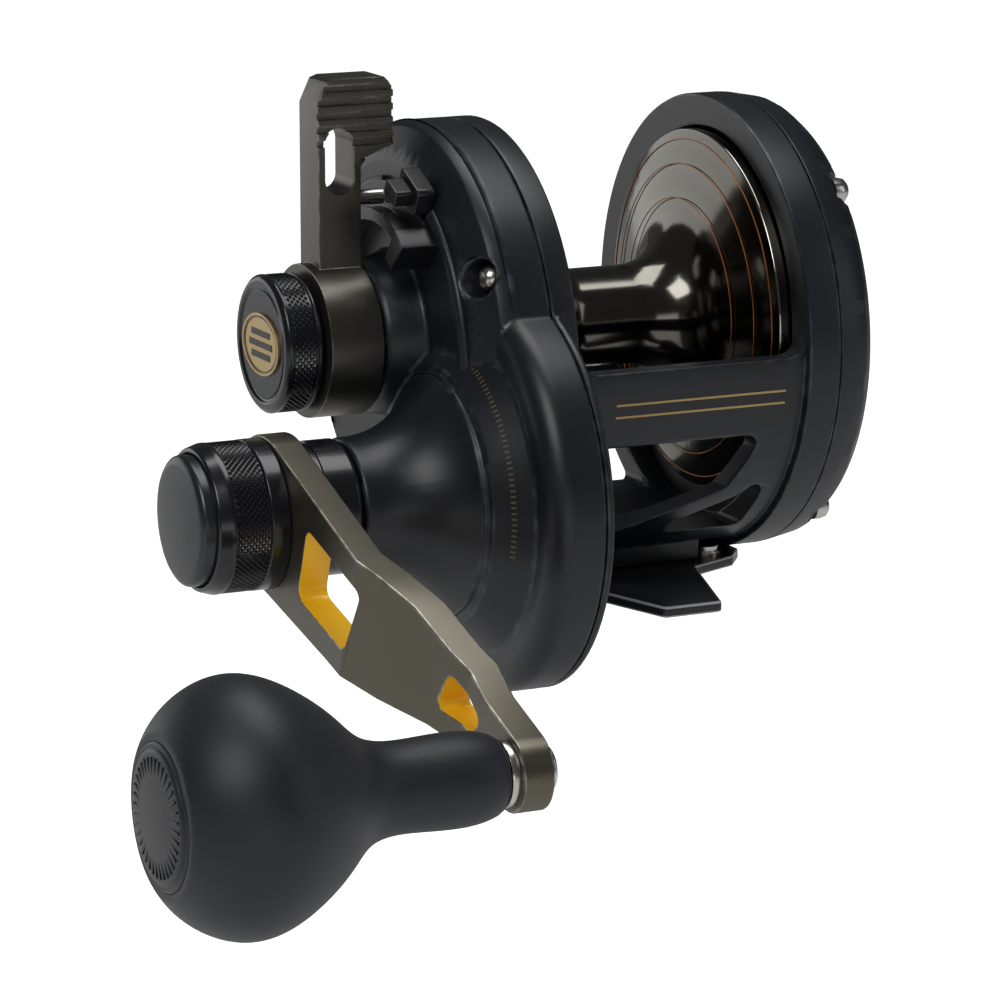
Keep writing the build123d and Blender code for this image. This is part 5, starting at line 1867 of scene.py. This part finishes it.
@dataclass
class SoftBox:
    """One rectangular studio light, in metres and watts."""

    name: str
    place: tuple[float, float, float]
    aim: tuple[float, float, float]
    size: tuple[float, float]
    power: float

    def build(self) -> None:
        """Make the light."""
        lamp = bpy.data.lights.new(self.name, "AREA")
        lamp.shape = "RECTANGLE"
        lamp.size, lamp.size_y = self.size
        lamp.energy = self.power
        thing = bpy.data.objects.new(self.name, lamp)
        thing.location = self.place
        thing.rotation_euler = (Vector(self.aim) - Vector(self.place)).to_track_quat("-Z", "Y").to_euler()
        bpy.context.scene.collection.objects.link(thing)


@dataclass
class Studio:
    """The pale floor, the light and the camera."""

    floor_gap: float = 0.004
    floor_size: float = 6.0
    bounce: float = 0.12
    surround: float = 0.06
    paper_tone: float = 0.80
    paper_glow: float = 0.96
    lights: tuple[SoftBox, ...] = (
        SoftBox("key", (-0.55, -0.45, 0.62), (-0.02, -0.02, 0.02), (0.45, 0.45), 3.0),
        SoftBox("top", (0.10, 0.05, 0.75), (0.0, 0.0, 0.03), (0.60, 0.40), 2.6),
        SoftBox("side", (0.62, -0.55, 0.30), (0.0, 0.0, 0.03), (0.25, 0.55), 0.42),
        SoftBox("low_front", (-0.20, -0.75, -0.01), (-0.03, -0.03, 0.01), (0.50, 0.16), 0.25),
        SoftBox("rear", (-0.45, 0.85, 0.02), (0.02, 0.0, 0.03), (0.70, 0.60), 1.35),
    )
    camera_place: tuple[float, float, float] = (-0.28858, -0.58602, 0.15437)
    camera_view: tuple[float, float, float] = (0.41497, 0.88367, -0.21661)
    lens: float = 165.37

    def build(self) -> None:
        """Make the studio."""
        low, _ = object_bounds()
        solid = bmesh.new()
        half = self.floor_size / 2
        hub = Vector(Turning.DRIVE.place())
        swing = (Vector(Turning.KNOB.place()) - hub).length + radius_of("grip") * MM
        level = min(low.z, hub.y - swing) - self.floor_gap
        corners = ((-1, -1), (1, -1), (1, 1), (-1, 1))
        solid.faces.new([solid.verts.new((x * half, y * half, level)) for x, y in corners])
        floor = object_from(solid, "floor")
        paper = bpy.data.materials.new("pale_paper")
        paper.use_nodes = True
        shader = paper.node_tree.nodes["Principled BSDF"]
        shader.inputs["Base Color"].default_value = (*[self.paper_tone] * 3, 1.0)
        shader.inputs["Roughness"].default_value = 0.9
        shader.inputs["Specular IOR Level"].default_value = 0.0
        shader.inputs["Emission Strength"].default_value = 1.0
        rays = paper.node_tree.nodes.new("ShaderNodeLightPath")
        glow = paper.node_tree.nodes.new("ShaderNodeMix")
        glow.data_type = "RGBA"
        glow.inputs["A"].default_value = (*[self.bounce] * 3, 1.0)
        glow.inputs["B"].default_value = (*[self.paper_glow] * 3, 1.0)
        paper.node_tree.links.new(rays.outputs["Is Camera Ray"], glow.inputs["Factor"])
        paper.node_tree.links.new(glow.outputs["Result"], shader.inputs["Emission Color"])
        floor.data.materials.append(paper)
        floor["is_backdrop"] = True
        self._world(self.surround)
        for lamp in self.lights:
            lamp.build()
        self._camera()

    @staticmethod
    def _world(strength: float) -> None:
        """Make the surroundings: white to look at, and dimmer as a light."""
        world = bpy.data.worlds.new("studio")
        bpy.context.scene.world = world
        world.use_nodes = True
        tree = world.node_tree
        back = tree.nodes["Background"]
        back.inputs["Color"].default_value = (1.0, 1.0, 1.0, 1.0)
        rays = tree.nodes.new("ShaderNodeLightPath")
        mix = tree.nodes.new("ShaderNodeMix")
        mix.inputs["A"].default_value = strength
        mix.inputs["B"].default_value = 1.0
        tree.links.new(rays.outputs["Is Camera Ray"], mix.inputs["Factor"])
        tree.links.new(mix.outputs["Result"], back.inputs["Strength"])
        bpy.context.scene.view_settings.view_transform = "Standard"

    def _camera(self) -> None:
        """Make the camera."""
        lens = bpy.data.cameras.new("camera")
        lens.lens = self.lens
        lens.sensor_width = 36.0
        lens.clip_start = 0.01
        lens.clip_end = 20.0
        thing = bpy.data.objects.new("camera", lens)
        thing.location = self.camera_place
        thing.rotation_euler = Vector(self.camera_view).to_track_quat("-Z", "Y").to_euler()
        bpy.context.scene.collection.objects.link(thing)
        bpy.context.scene.camera = thing


def main() -> None:
    """Build every sub-assembly, then the studio."""
    logging.basicConfig(level=logging.INFO, format="%(message)s")
    for part in (
        FrameCasting(),
        Gearcase(),
        TailSide(),
        Spool(),
        LeverDrag(),
        Crank(),
        PowerGrip(),
        Workings(),
        Studio(),
    ):
        log.info("-- %s", type(part).__name__)
        part.build()


if __name__ == "__main__":
    main()
